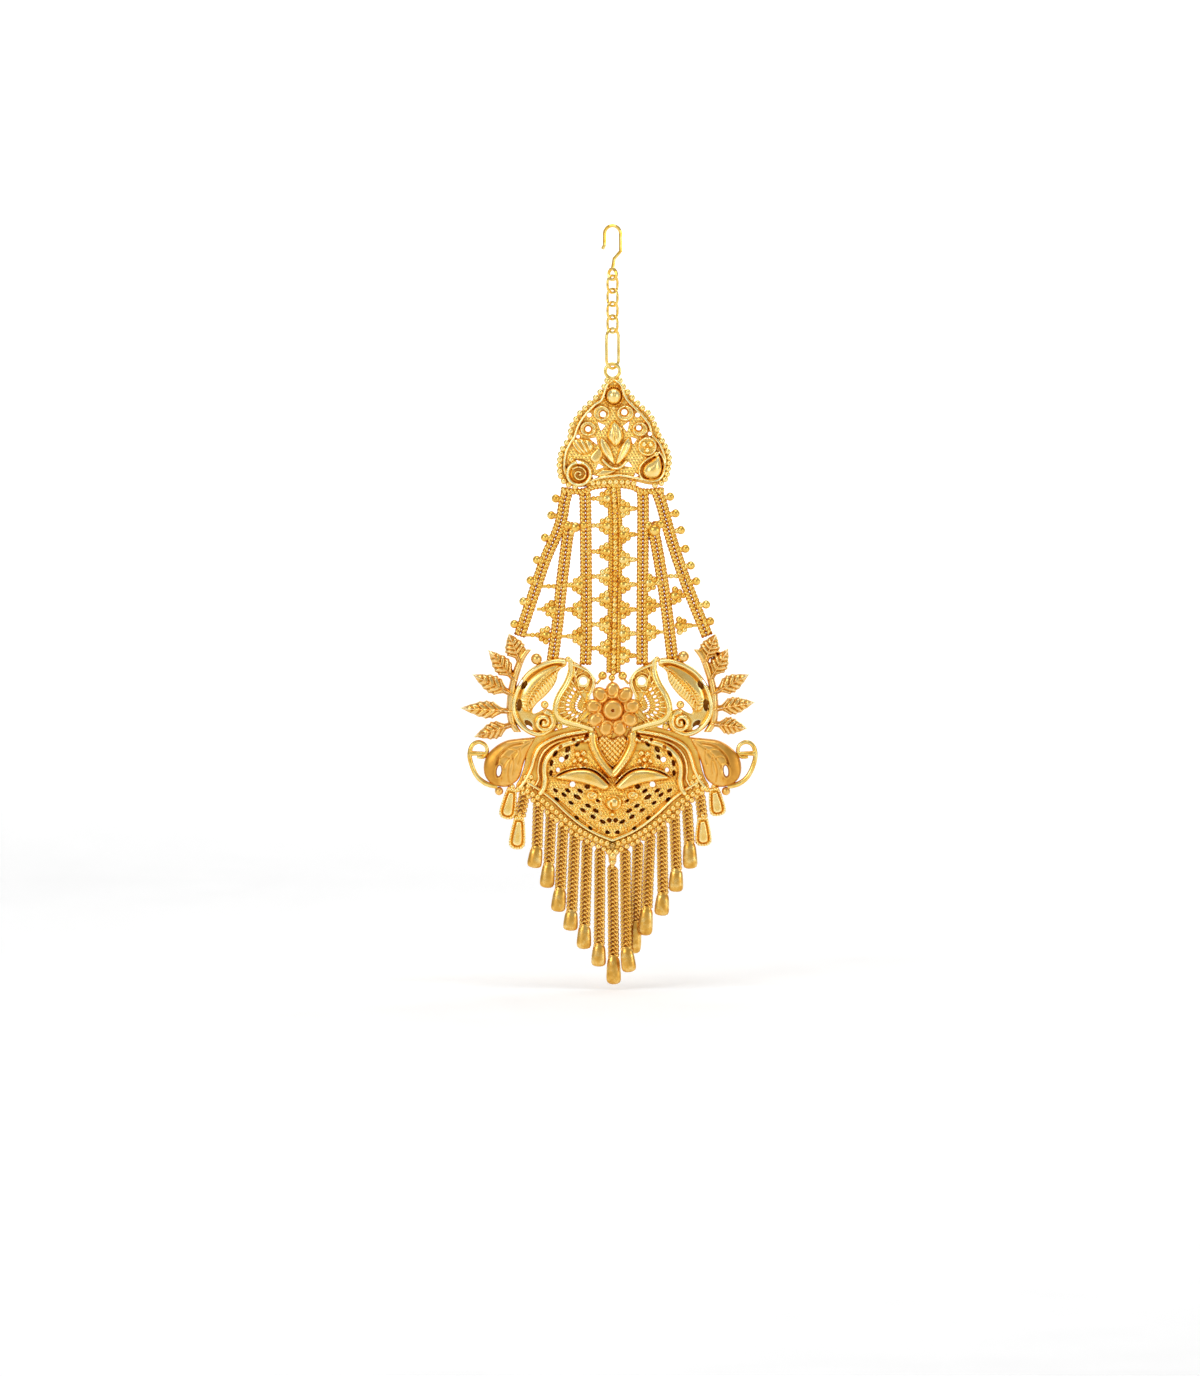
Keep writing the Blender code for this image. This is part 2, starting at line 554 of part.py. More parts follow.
# Chain links, each turned a quarter turn from the last, then the oval link
for number in range(1, LINK_COUNT + 1):
    middle = top_link - (number - 1) * link_pitch
    turn = math.radians(45 if number % 2 else -45)
    points = link_points(middle, LINK_LENGTH, LINK_WIDTH, LINK_WIRE, turn)
    piece("chain_link_%d" % number, wire_curve(points, LINK_WIRE, closed=True), GOLD, 0.25, hook_mount)
points = link_points(oval_middle, OVAL_LENGTH, OVAL_WIDTH, OVAL_WIRE, OVAL_TURN)
piece("oval_link", wire_curve(points, OVAL_WIRE, closed=True), PALE_GOLD, 0.2, hook_mount)

# Crest: pierced plate, granule rim, lotus, bosses, spiral cup and bail ring
crest_edge = both_halves(CREST_EDGE, crest_at)
half = PLATE / 2
crest_parts = [plate(crest_edge, gaps_of(CREST_GAPS, crest_at, (1, -1)), half, -half)]
crest_middle = CREST_TOP - CREST_HEIGHT / 2
inset = RIM_WIRE * 0.42
narrower = 1 - inset / CREST_HALF_WIDTH
lower = 1 - 2 * inset / CREST_HEIGHT
rim_path = [(x * narrower, -half, crest_middle + (z - crest_middle) * lower) for x, z in crest_edge]
crest_parts.append(wire(rim_path, RIM_WIRE * 0.85, closed=True))
crest_parts.append(wire(ring_points((0, 0, bail_middle), bail_radius, 12), BAIL_WIRE, closed=True))
for x, z, width, height, rise in CREST_BOSSES:
    flat_x, flat_z = crest_at(x, z)
    place = (flat_x, -half, flat_z)
    crest_parts.append(bead(place, width * MM, height * MM, 2 * rise * MM, seat=BOSS_SEAT))
for base_x, base_z, tip_x, tip_z, width in LOTUS_PETALS:
    base = Vector(crest_at(base_x, base_z))
    tip = Vector(crest_at(tip_x, tip_z))
    across = Vector((base.y - tip.y, tip.x - base.x)).normalized() * width * MM / 2
    middle = base.lerp(tip, 0.5)
    petal = [tuple(base), tuple(middle + across), tuple(tip), tuple(middle - across)]
    crest_parts.append(plate(petal, [], 0.0, -1.3 * MM - PLATE_STEP * base_z))
cup_x, cup_z = crest_at(*SPIRAL_CUP[:2])
cup_radius = SPIRAL_CUP[2] * MM / 2
crest_parts.append(wire(ring_points((cup_x, -half * 1.6, cup_z), cup_radius * 0.8, 10), EDGE_WIRE, closed=True))
crest_parts.append(bead((cup_x, -half, cup_z), cup_radius, cup_radius, 2.2 * MM, seat=BOSS_SEAT))
piece("crest", fused(crest_parts), PALE_GOLD, 0.28, pendant_pivot)

# Fan: seven strips of two wires, a yoke under the crest, cross pins with clusters, outer knobs
fan_parts = [wire(places(FAN_YOKE, fan_at), STRIP_WIRE * 1.1)]
section_curve = bpy.data.curves.new("strip_section", "CURVE")
section_curve.dimensions = "2D"
section_line = section_curve.splines.new("POLY")
section_line.points.add(len(STRIP_SECTION) - 1)
for point, (wide, deep) in zip(section_line.points, STRIP_SECTION):
    point.co = (wide * STRIP_WIDTH / 2, deep * STRIP_WIRE / 2, 0.0, 1.0)
section_line.use_cyclic_u = True
section = bpy.data.objects.new("strip_section", section_curve)
helpers.objects.link(section)
for line in FAN_STRIPS.values():
    fan_parts.append(strip(outline(line, fan_at), section))
bpy.data.objects.remove(section)
pins = [(x, to_x, at_x, z) for x, to_x, at_x, heights in FAN_PINS for z in heights]
pins += [(x, to_x, at_x, z) for z, x, to_x, at_x in FAN_OUTER_PINS]
for from_x, to_x, cluster_x, z in pins:
    fan_parts.append(wire(places([(from_x, z), (to_x, z)], fan_at, -PLATE_STEP), PIN_WIRE, sides=4))
    flat_x, flat_z = fan_at(cluster_x, z)
    place = (flat_x, -2 * PLATE_STEP, flat_z)
    fan_parts.append(bead(place, CLUSTER * 0.95, CLUSTER, CLUSTER * 0.8, sides=6, rings=4))
for x, z in FAN_KNOBS:
    knob_x, knob_z = fan_at(x, z)
    inward, inner_z = fan_at(x * 0.9, z + 0.006)
    stem = [(knob_x, -PLATE_STEP, knob_z), (inward, -PLATE_STEP, inner_z)]
    fan_parts.append(wire(stem, PIN_WIRE, sides=4))
    fan_parts.append(bead((knob_x, -2 * PLATE_STEP, knob_z), KNOB, KNOB, KNOB, rings=4))
piece("fan_lattice", fused(fan_parts), GOLD, 0.3, pendant_pivot)

# Medallion: shield, V rim, bands, V band, heart and wings, with a window and a feather each side
shield = plate(both_halves(SHIELD_EDGE, body_at), gaps_of(SHIELD_GAPS, body_at, (1, -1)), half, -half)
rim = places(V_RIM, body_at, -half)
rim += [(-x, y, z) for x, y, z in rim[-2::-1]]
band = outline(V_BAND, body_at) + outline([(-x, z) for x, z in V_BAND[-2::-1]], body_at)
band += outline([(-x, z) for x, z in V_BAND_INNER[:-1]], body_at) + outline(V_BAND_INNER[::-1], body_at)
heart = outline(HEART_EDGE, body_at) + outline([(-x, z) for x, z in HEART_EDGE[-2:0:-1]], body_at)
window = plate(
    outline(WINDOW_EDGE, body_at), gaps_of(WINDOW_GAPS, body_at), half - PLATE_STEP, -half + PLATE_STEP
)
window_rim = wire(places(WINDOW_EDGE[:10], body_at, -half), EDGE_WIRE, sides=4)
feather = plate(
    outline(FEATHER_EDGE, body_at), gaps_of(FEATHER_GAPS, body_at), half - 2 * PLATE_STEP, -half - 2 * PLATE_STEP
)
eye_x, eye_z = body_at(*SCROLL_EYE[:2])
eye_size = SCROLL_EYE[2] * MM
granule_x, granule_z = body_at(*SCROLL_GRANULE[:2])
granule = SCROLL_GRANULE[2] * MM
side_parts = [
    window,
    window_rim,
    feather,
    wire(places(FEATHER_EDGE[1:8], body_at, -half), EDGE_WIRE, sides=4),
    bead((eye_x, -half / 2, eye_z), eye_size, eye_size, SCROLL_RISE, sides=12, seat=BOSS_SEAT - PLATE_STEP),
    bead((granule_x, -half / 2, granule_z), granule * 1.3, granule, granule, seat=BOSS_SEAT),
    wire([(-abs(x), y, z) for x, y, z in places(INNER_BAND, body_at, -half * 1.1)], EDGE_WIRE * 0.9, sides=4),
    wire([(-abs(x), y, z) for x, y, z in places(OUTER_BAND, body_at, -half * 0.9)], EDGE_WIRE * 1.1, sides=4),
    plate(outline(WING, body_at), [], PLATE_STEP, -half - 12 * PLATE_STEP),
]
knob_x, knob_z = body_at(0.0, 0.764)
medallion_parts = [
    shield,
    wire(rim, RIM_WIRE),
    plate(band, [], 0.0, -half - 9 * PLATE_STEP),
    plate(heart, [], -PLATE_STEP, -half - 5 * PLATE_STEP),
    bead((knob_x, -half, knob_z), SHIELD_KNOB, SHIELD_KNOB, SHIELD_KNOB_RISE, seat=BOSS_SEAT),
    *side_parts,
    *flipped(side_parts),
]
piece("medallion", fused(medallion_parts), GOLD, 0.3, pendant_pivot)

# Rosette: a back disc, nine petals and a dome
rosette_x, rosette_z = body_at(0.0, 0.277)
petal_ring = ROSETTE * 0.37
petal_size = ROSETTE * 0.29
disc = ring_points((rosette_x, 0, rosette_z), ROSETTE * 0.36, 12)
rosette_parts = [plate([(x, z) for x, y, z in disc], [], ROSETTE_BACK, ROSETTE_BACK - 0.5 * MM)]
for petal in range(ROSETTE_PETALS):
    angle = math.radians(90) + 2 * math.pi * petal / ROSETTE_PETALS
    place = (
        rosette_x + math.cos(angle) * petal_ring,
        ROSETTE_BACK - petal_size * 0.25,
        rosette_z + math.sin(angle) * petal_ring,
    )
    rosette_parts.append(bead(place, petal_size, petal_size, petal_size * 0.5, sides=6, rings=4))
dome_place = (rosette_x, ROSETTE_BACK - 0.6 * MM, rosette_z)
dome_seat = ROSETTE_BACK - 0.2 * MM
rosette_parts.append(bead(dome_place, ROSETTE * 0.38, ROSETTE * 0.38, ROSETTE_DOME_RISE, sides=12, seat=dome_seat))
piece("rosette", fused(rosette_parts), GOLD, 0.3, pendant_pivot)

# Leaf sprays and pods, one of each on either side
for side_name, side in (("left", 1), ("right", -1)):
    spray = [wire(places(SPRAY_STEM, body_at, 0.0, side), STEM_WIRE)]
    for row, (tip_x, tip_z, base_x, base_z, width) in enumerate(LEAVES[side_name]):
        depth = half - PLATE_STEP * row
        base = body_at(base_x * side, base_z)
        spray += leaf(base, body_at(tip_x * side, tip_z), width * MM, depth * 0.9, -depth)
    piece("leaf_spray_" + side_name, fused(spray), GOLD, 0.3, pendant_pivot)
    slot = oval_gap(POD_SLOT[0] * side, POD_SLOT[1], *POD_SLOT[2:4], POD_SLOT[4] * side, body_at)
    rim = outline(POD_EDGE, body_at, side)
    middle = (sum(x for x, z in rim) / len(rim), sum(z for x, z in rim) / len(rim))
    crown = [(middle[0] + (x - middle[0]) * 0.8, middle[1] + (z - middle[1]) * 0.8) for x, z in rim]
    pod = [
        plate(rim, [slot], POD_BACK, -POD_RISE * 0.7),
        plate(crown, [slot], POD_BACK - PLATE_STEP, -POD_RISE),
        wire(places(CURL_WIRE, body_at, -PLATE_STEP, side), EDGE_WIRE),
    ]
    piece("pod_" + side_name, fused(pod), DEEP_GOLD, 0.28, pendant_pivot)


def turned_drop(name, top, end):
    """A hollow-looking cup turned about its own length and flattened front to back."""
    length = (end - top).length
    mesh = bpy.data.meshes.new(name)
    body = bmesh.new()
    last = None
    for wide, low in DROP_SHAPE:
        corner = body.verts.new((wide * DROP_WIDTH / 2, 0.0, -low * length))
        if last:
            body.edges.new((last, corner))
        last = corner
    body.to_mesh(mesh)
    body.free()
    made = piece(name, mesh, DEEP_GOLD, 0.35)
    screw = made.modifiers.new("Turn", "SCREW")
    screw.axis = "Z"
    screw.angle = 2 * math.pi
    screw.steps = DROP_SIDES
    screw.render_steps = DROP_SIDES
    screw.use_merge_vertices = True
    screw.merge_threshold = WELD
    screw.use_smooth_shade = True
    made.location = top
    made.rotation_euler = (end - top).normalized().rotation_difference(Vector((0, 0, -1))).inverted().to_euler()
    made.scale = (1.0, DROP_FLATNESS, 1.0)
    made.parent = pendant_pivot
    made.matrix_parent_inverse = pendant_pivot.matrix_basis.inverted()


def panelled_drop(name, top, end):
    """A flat drop with a raised panel in a rim."""
    along = Vector((end.x - top.x, end.z - top.z))
    across = Vector((along.y, -along.x)).normalized() * PANEL_DROP_WIDTH / 2
    start = Vector((top.x, top.z))
    faces = []
    for share, from_share, to_share in ((1.0, 0.0, 1.0), (0.66, 0.22, 0.91)):
        reach = to_share - from_share
        rows = [(wide * share, from_share + low * reach) for wide, low in PANEL_SHAPE]
        left = [tuple(start + along * low + across * wide) for wide, low in rows]
        right = [tuple(start + along * low - across * wide) for wide, low in rows[::-1]]
        faces.append(left + right)
    deep = PANEL_DROP_DEPTH / 2
    parts = [
        plate(faces[0], [], top.y + deep, top.y - deep),
        plate(faces[1], [], top.y, top.y - deep - 0.25 * MM),
    ]
    piece(name, fused(parts), PALE_GOLD, 0.3, pendant_pivot)


def drop(name, top, end):
    if name in PANELLED:
        panelled_drop(name, top, end)
    else:
        turned_drop(name, top, end)


# Fringe: woven strands, each with its drop a gap below it
for number, (top_x, low_x, low_z, end_x, end_z, depth) in enumerate(FRINGE, start=2):
    start_x = top_x * fringe_half_width
    start_z = min(under_shield(start_x + reach) for reach in (-STRAND / 2, 0, STRAND / 2)) - GAP
    drop_x, drop_z = fringe_at(low_x, low_z)
    last_x, last_z = fringe_at(end_x, end_z)
    start = Vector((start_x, STRAND_DEPTH, start_z))
    top = Vector((drop_x, STRAND_DEPTH + depth * MM, drop_z))
    end = Vector((last_x, STRAND_DEPTH + depth * MM, last_z))
    stop = top + (start - top).normalized() * GAP
    count = max(2, round((stop - start).length / (2.5 * STRAND)) + 1)
    line = []
    for step in range(count):
        share = step / (count - 1)
        point = start.lerp(stop, share)
        point.y = STRAND_DEPTH + depth * MM * share * share
        line.append(tuple(point))
    curve = wire_curve(line, STRAND, sides=8)
    piece("strand_%02d" % number, curve, DEEP_GOLD, 0.4, pendant_pivot)
    drop("drop_%02d" % number, top, end)
for name, (top_x, top_z, end_x, end_z) in POD_DROPS.items():
    start_x, start_z = fringe_at(top_x, top_z)
    last_x, last_z = fringe_at(end_x, end_z)
    drop(name, Vector((start_x, STRAND_DEPTH, start_z)), Vector((last_x, STRAND_DEPTH, last_z)))
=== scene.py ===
"""Gold jhoomar with a short chain, a pierced crest, a fan of twisted wire and a fringed medallion."""

import math
import random

import bmesh
import bpy
import numpy as np
from mathutils import Matrix, Vector


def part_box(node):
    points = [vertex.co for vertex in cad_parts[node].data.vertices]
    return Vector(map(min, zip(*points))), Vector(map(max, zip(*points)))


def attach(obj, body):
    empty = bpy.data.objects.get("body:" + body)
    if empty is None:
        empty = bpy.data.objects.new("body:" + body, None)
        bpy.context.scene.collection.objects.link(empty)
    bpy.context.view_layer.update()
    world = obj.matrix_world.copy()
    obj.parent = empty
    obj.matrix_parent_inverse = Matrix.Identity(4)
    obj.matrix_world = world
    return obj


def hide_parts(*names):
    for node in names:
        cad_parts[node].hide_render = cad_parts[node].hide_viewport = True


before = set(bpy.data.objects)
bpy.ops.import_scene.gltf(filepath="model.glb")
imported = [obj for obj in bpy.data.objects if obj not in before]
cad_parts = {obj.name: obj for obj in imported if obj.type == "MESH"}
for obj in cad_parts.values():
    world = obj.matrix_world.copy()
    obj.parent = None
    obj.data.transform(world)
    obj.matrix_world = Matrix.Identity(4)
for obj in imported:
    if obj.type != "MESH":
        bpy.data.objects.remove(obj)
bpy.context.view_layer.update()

# ----------------------------------------
# Setting: the jewel hangs a little above a plain pale floor that curves up behind it. A long
# lens looks at it from slightly above, and large soft lights stand on both sides and overhead.
# One step is one pixel of the photo, in metres. Shapes are drawn in steps, x to the right, z down.
STEP = 0.0002


def linear(code):
    """Linear colour of an sRGB hex code."""
    parts = [int(code[i:i + 2], 16) / 255 for i in (1, 3, 5)]
    return (*[c / 12.92 if c <= 0.04045 else ((c + 0.055) / 1.055) ** 2.4 for c in parts], 1.0)


def node(tree, kind, inputs=None, **settings):
    """A node with its settings, and its inputs set or linked."""
    made = tree.nodes.new(kind)
    for key, value in settings.items():
        setattr(made, key, value)
    for socket, value in (inputs or {}).items():
        if isinstance(value, bpy.types.NodeSocket):
            tree.links.new(value, made.inputs[socket])
        else:
            made.inputs[socket].default_value = value
    return made


def ramp(tree, factor, stops):
    made = node(tree, "ShaderNodeValToRGB", {"Fac": factor})
    colours = made.color_ramp.elements
    while len(colours) < len(stops):
        colours.new(0.5)
    for stop, (place, code) in zip(colours, stops):
        stop.position = place
        stop.color = linear(code)
    return made


def empty_material(name):
    material = bpy.data.materials.new(name)
    material.use_nodes = True
    tree = material.node_tree
    return material, tree, tree.nodes["Principled BSDF"]


def floor_paper(name):
    """Matt white paper, faintly mottled, that glows faintly where the jewel hangs and more towards the back, so that
    it stays white.
    """
    material, tree, shader = empty_material(name)
    place = node(tree, "ShaderNodeTexCoord").outputs["Object"]
    mottle = node(tree, "ShaderNodeTexNoise", {"Vector": place, "Scale": 60.0, "Detail": 3.0})
    colour = ramp(tree, mottle.outputs["Fac"], [(0.3, "#F4F4F4"), (0.7, "#FAFAFA")])
    tree.links.new(colour.outputs["Color"], shader.inputs["Base Color"])
    shader.inputs["Roughness"].default_value = 0.9
    shader.inputs["Emission Color"].default_value = (1.0, 1.0, 1.0, 1.0)
    depth = node(tree, "ShaderNodeSeparateXYZ", {"Vector": place}).outputs["Y"]
    glow = node(tree, "ShaderNodeMapRange", {"Value": depth, "From Min": 0.3, "From Max": 1.4, "To Min": 0.16,
            "To Max": 0.68})
    tree.links.new(glow.outputs["Result"], shader.inputs["Emission Strength"])
    return material


FLOOR_Z = -0.1525
FLOOR_FRONT, FLOOR_BACK, WALL_Y, WALL_TOP = -2.4, 2.3, 2.8, 2.6
FLOOR_WIDTH = 5.2
BEND = WALL_Y - FLOOR_BACK
body = bmesh.new()
sweep = [(FLOOR_FRONT, 0.0), (FLOOR_BACK, 0.0)]
sweep += [(FLOOR_BACK + BEND * math.sin(a), BEND - BEND * math.cos(a)) for a in np.linspace(0.2, math.pi / 2, 8)]
sweep += [(WALL_Y, WALL_TOP)]
line = [body.verts.new((-FLOOR_WIDTH / 2, y, FLOOR_Z + z)) for y, z in sweep]
for first, second in zip(line, line[1:]):
    body.edges.new((first, second))
made = bmesh.ops.extrude_edge_only(body, edges=body.edges[:])
bmesh.ops.translate(body, verts=[v for v in made["geom"] if isinstance(v, bmesh.types.BMVert)],
                    vec=(FLOOR_WIDTH, 0, 0))
bmesh.ops.recalc_face_normals(body, faces=body.faces)
floor_mesh = bpy.data.meshes.new("floor")
body.to_mesh(floor_mesh)
body.free()
for face in floor_mesh.polygons:
    face.use_smooth = True
floor_mesh.materials.append(floor_paper("white_floor_paper"))
floor = bpy.data.objects.new("floor", floor_mesh)
bpy.context.collection.objects.link(floor)

target = Vector((-0.0025, 0.0, -0.092))
elevation = math.radians(3.0)
CAMERA_DISTANCE = 2.0
camera_data = bpy.data.cameras.new("camera")
camera_data.lens = 261.6
camera_data.sensor_width = 36.0
camera_data.dof.use_dof = False
camera = bpy.data.objects.new("camera", camera_data)
camera.location = target + CAMERA_DISTANCE * Vector((0.0, -math.cos(elevation), math.sin(elevation)))
camera.rotation_euler = (math.radians(90) - elevation, 0.0, 0.0)
bpy.context.collection.objects.link(camera)
bpy.context.scene.camera = camera
bpy.context.scene.view_settings.view_transform = "Standard"

for name, place, size, power in (
    ("key_left", (-0.55, -0.75, 0.25), 0.42, 1.9),
    ("fill_right", (0.75, -0.55, 0.05), 0.36, 0.9),
    ("top", (0.0, -0.15, 0.75), 0.55, 2.2),
    ("rim_back", (0.35, 0.35, 0.15), 0.25, 0.35),
):
    lamp = bpy.data.lights.new(name, "AREA")
    lamp.size = size
    lamp.energy = power
    light = bpy.data.objects.new(name, lamp)
    light.location = place
    light.rotation_euler = (target - Vector(place)).to_track_quat("-Z", "Y").to_euler()
    bpy.context.collection.objects.link(light)
world = bpy.data.worlds.new("studio")
world.use_nodes = True
world.node_tree.nodes["Background"].inputs["Color"].default_value = (1.0, 1.0, 1.0, 1.0)
world.node_tree.nodes["Background"].inputs["Strength"].default_value = 0.49
bpy.context.scene.world = world

# ----------------------------------------
# Hook, chain and oval link: round gold wire bent and soldered shut. The links are smooth and
# well polished, and the oval link is of a paler, slightly thicker wire.
# Deep brown of the painted shade in pits and crevices.
PAINTED_CREVICE_SHADE = "#5A2A08"


def gold(name, shade, mid, pale, rough, mottle_mm=1.2, grain_mm=0.12, grain=0.12, painted_shading=False):
    """Cast or drawn yellow gold, finely grained, its tone varying at random; with painted shading it has painted
    shade in its hollows and painted highlight on its high places.
    """
    material, tree, shader = empty_material(name)
    place = node(tree, "ShaderNodeTexCoord").outputs["Object"]
    mottle = node(tree, "ShaderNodeTexNoise", {"Vector": place, "Scale": 1000 / mottle_mm, "Detail": 3.0})
    fine = node(tree, "ShaderNodeTexNoise", {"Vector": place, "Scale": 1000 / grain_mm, "Detail": 2.0})
    share = mottle.outputs["Fac"]
    # The painted shading attribute sets the tone: painted shade in hollows, painted highlight on high places, with
    # some random tone mixed in.
    if painted_shading:
        painted_shading_level = node(tree, "ShaderNodeAttribute", attribute_name="painted_shading").outputs["Fac"]
        share = node(tree, "ShaderNodeMath", {0: painted_shading_level, 1: 0.8, 2: 0.0}, operation="MULTIPLY").outputs[0]
        share = node(
            tree, "ShaderNodeMath", {0: mottle.outputs["Fac"], 1: 0.2, 2: share}, operation="MULTIPLY_ADD"
        ).outputs[0]
    colour = ramp(tree, share, [(0.04, PAINTED_CREVICE_SHADE), (0.26, shade), (0.5, mid), (0.72, pale)])
    tree.links.new(colour.outputs["Color"], shader.inputs["Base Color"])
    shader.inputs["Metallic"].default_value = 1.0
    spread = node(
        tree, "ShaderNodeMapRange",
        {"Value": share, "From Min": 0.25, "From Max": 0.75, "To Min": rough * 1.35, "To Max": rough * 0.8},
    )
    tree.links.new(spread.outputs["Result"], shader.inputs["Roughness"])
    bump = node(
        tree, "ShaderNodeBump", {"Height": fine.outputs["Fac"], "Strength": grain, "Distance": 0.00005}
    )
    tree.links.new(bump.outputs["Normal"], shader.inputs["Normal"])
    return material


polished_gold = gold("polished_gold_wire", "#EBB441", "#FAD36A", "#FAE597", 0.14, grain=0.03)
pale_gold = gold("pale_polished_gold", "#EFC156", "#FADC81", "#FAEDB3", 0.17, grain=0.04)


def curve_piece(name, paths, width, material, body_name, closed=False, sides=8, radii=None, shade=None):
    """Round wires through the points of each path, as one curve, or as a mesh with painted shading where a shade is
    written.
    """
    data = bpy.data.curves.new(name, "CURVE")
    data.dimensions = "3D"
    data.bevel_depth = width / 2
    data.bevel_resolution = (sides - 4) // 2
    data.use_fill_caps = True
    for path in paths:
        spline = data.splines.new("POLY")
        spline.points.add(len(path) - 1)
        spline.points.foreach_set("co", [c for x, y, z in path for c in (x, y, z, 1.0)])
        if radii is not None:
            spline.points.foreach_set("radius", [radii(k / (len(path) - 1)) for k in range(len(path))])
        spline.use_cyclic_u = closed
        spline.use_smooth = True
    data.materials.append(material)
    made = bpy.data.objects.new(name, data)
    bpy.context.collection.objects.link(made)
    if shade is not None:
        graph = bpy.context.evaluated_depsgraph_get()
        mesh = bpy.data.meshes.new_from_object(made.evaluated_get(graph))
        bpy.data.objects.remove(made)
        places = np.empty(len(mesh.vertices) * 3, np.float32)
        mesh.vertices.foreach_get("co", places)
        values = np.array([shade(*place) for place in places.reshape(-1, 3)], np.float32)
        mesh.attributes.new("painted_shading", "FLOAT", "POINT").data.foreach_set("value", values)
        made = bpy.data.objects.new(name, mesh)
        bpy.context.collection.objects.link(made)
    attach(made, body_name)
    return made


def mesh_piece(name, body, material, body_name, sharp=50.0):
    """An object from a bmesh: shaded smooth, its edges sharper than this angle kept hard."""
    limit = math.radians(sharp)
    for face in body.faces:
        face.smooth = True
    for edge in body.edges:
        edge.smooth = not edge.is_manifold or edge.calc_face_angle() < limit
    data = bpy.data.meshes.new(name)
    body.to_mesh(data)
    body.free()
    data.materials.append(material)
    made = bpy.data.objects.new(name, data)
    bpy.context.collection.objects.link(made)
    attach(made, body_name)
    return made


def at(x, z, y=0.0):
    """A place from steps right of and below the bearing point, and steps of depth towards the front."""
    return (x * STEP, -y * STEP, -z * STEP)


def ring_path(middle, wide, high, turn, count=28):
    """Centre line of an oval link, its straight sides included."""
    radius = min(wide, high) / 2
    rise = (max(wide, high) - 2 * radius) / 2
    path = []
    for k in range(count):
        angle = 2 * math.pi * (k + 0.5) / count
        flat = math.cos(angle) * radius
        up = math.sin(angle) * radius + math.copysign(rise, math.sin(angle))
        path.append((middle[0] + flat * math.cos(turn), middle[1] + flat * math.sin(turn), middle[2] + up))
    return path


def middle_of(name):
    low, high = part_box(name)
    return [(a + b) / 2 for a, b in zip(low, high)]


LINK_WIDE, LINK_HIGH, LINK_WIRE, LINK_TURN = 0.0028, 0.00345, 0.00055, 45
OVAL_WIDE, OVAL_HIGH, OVAL_WIRE, OVAL_TURN = 0.00378, 0.00798, 0.00062, 50
for number in range(1, 5):
    name = "chain_link_%d" % number
    turn = math.radians(LINK_TURN if number % 2 else -LINK_TURN)
    path = ring_path(middle_of(name), LINK_WIDE, LINK_HIGH, turn)
    link = curve_piece(name + "_wire", [path], LINK_WIRE, polished_gold, "chain", True, 12)
    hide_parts(name)
path = ring_path(middle_of("oval_link"), OVAL_WIDE, OVAL_HIGH, math.radians(OVAL_TURN), 40)
link = curve_piece("oval_link_wire", [path], OVAL_WIRE, pale_gold, "chain", True, 12)
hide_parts("oval_link")
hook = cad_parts["hair_hook"]
hook.data.materials.clear()
hook.data.materials.append(gold("drawn_gold_hook", "#E3AC3C", "#F3CA63", "#FADF91", 0.2, grain=0.05))

# ----------------------------------------
# Crest: one cast plate, pierced and chased. It has a cabochon in a bezel, four ring scrolls, a
# lotus of three petals, a spiral cup, a shell, a ringed knob, a teardrop boss and a granule rim.


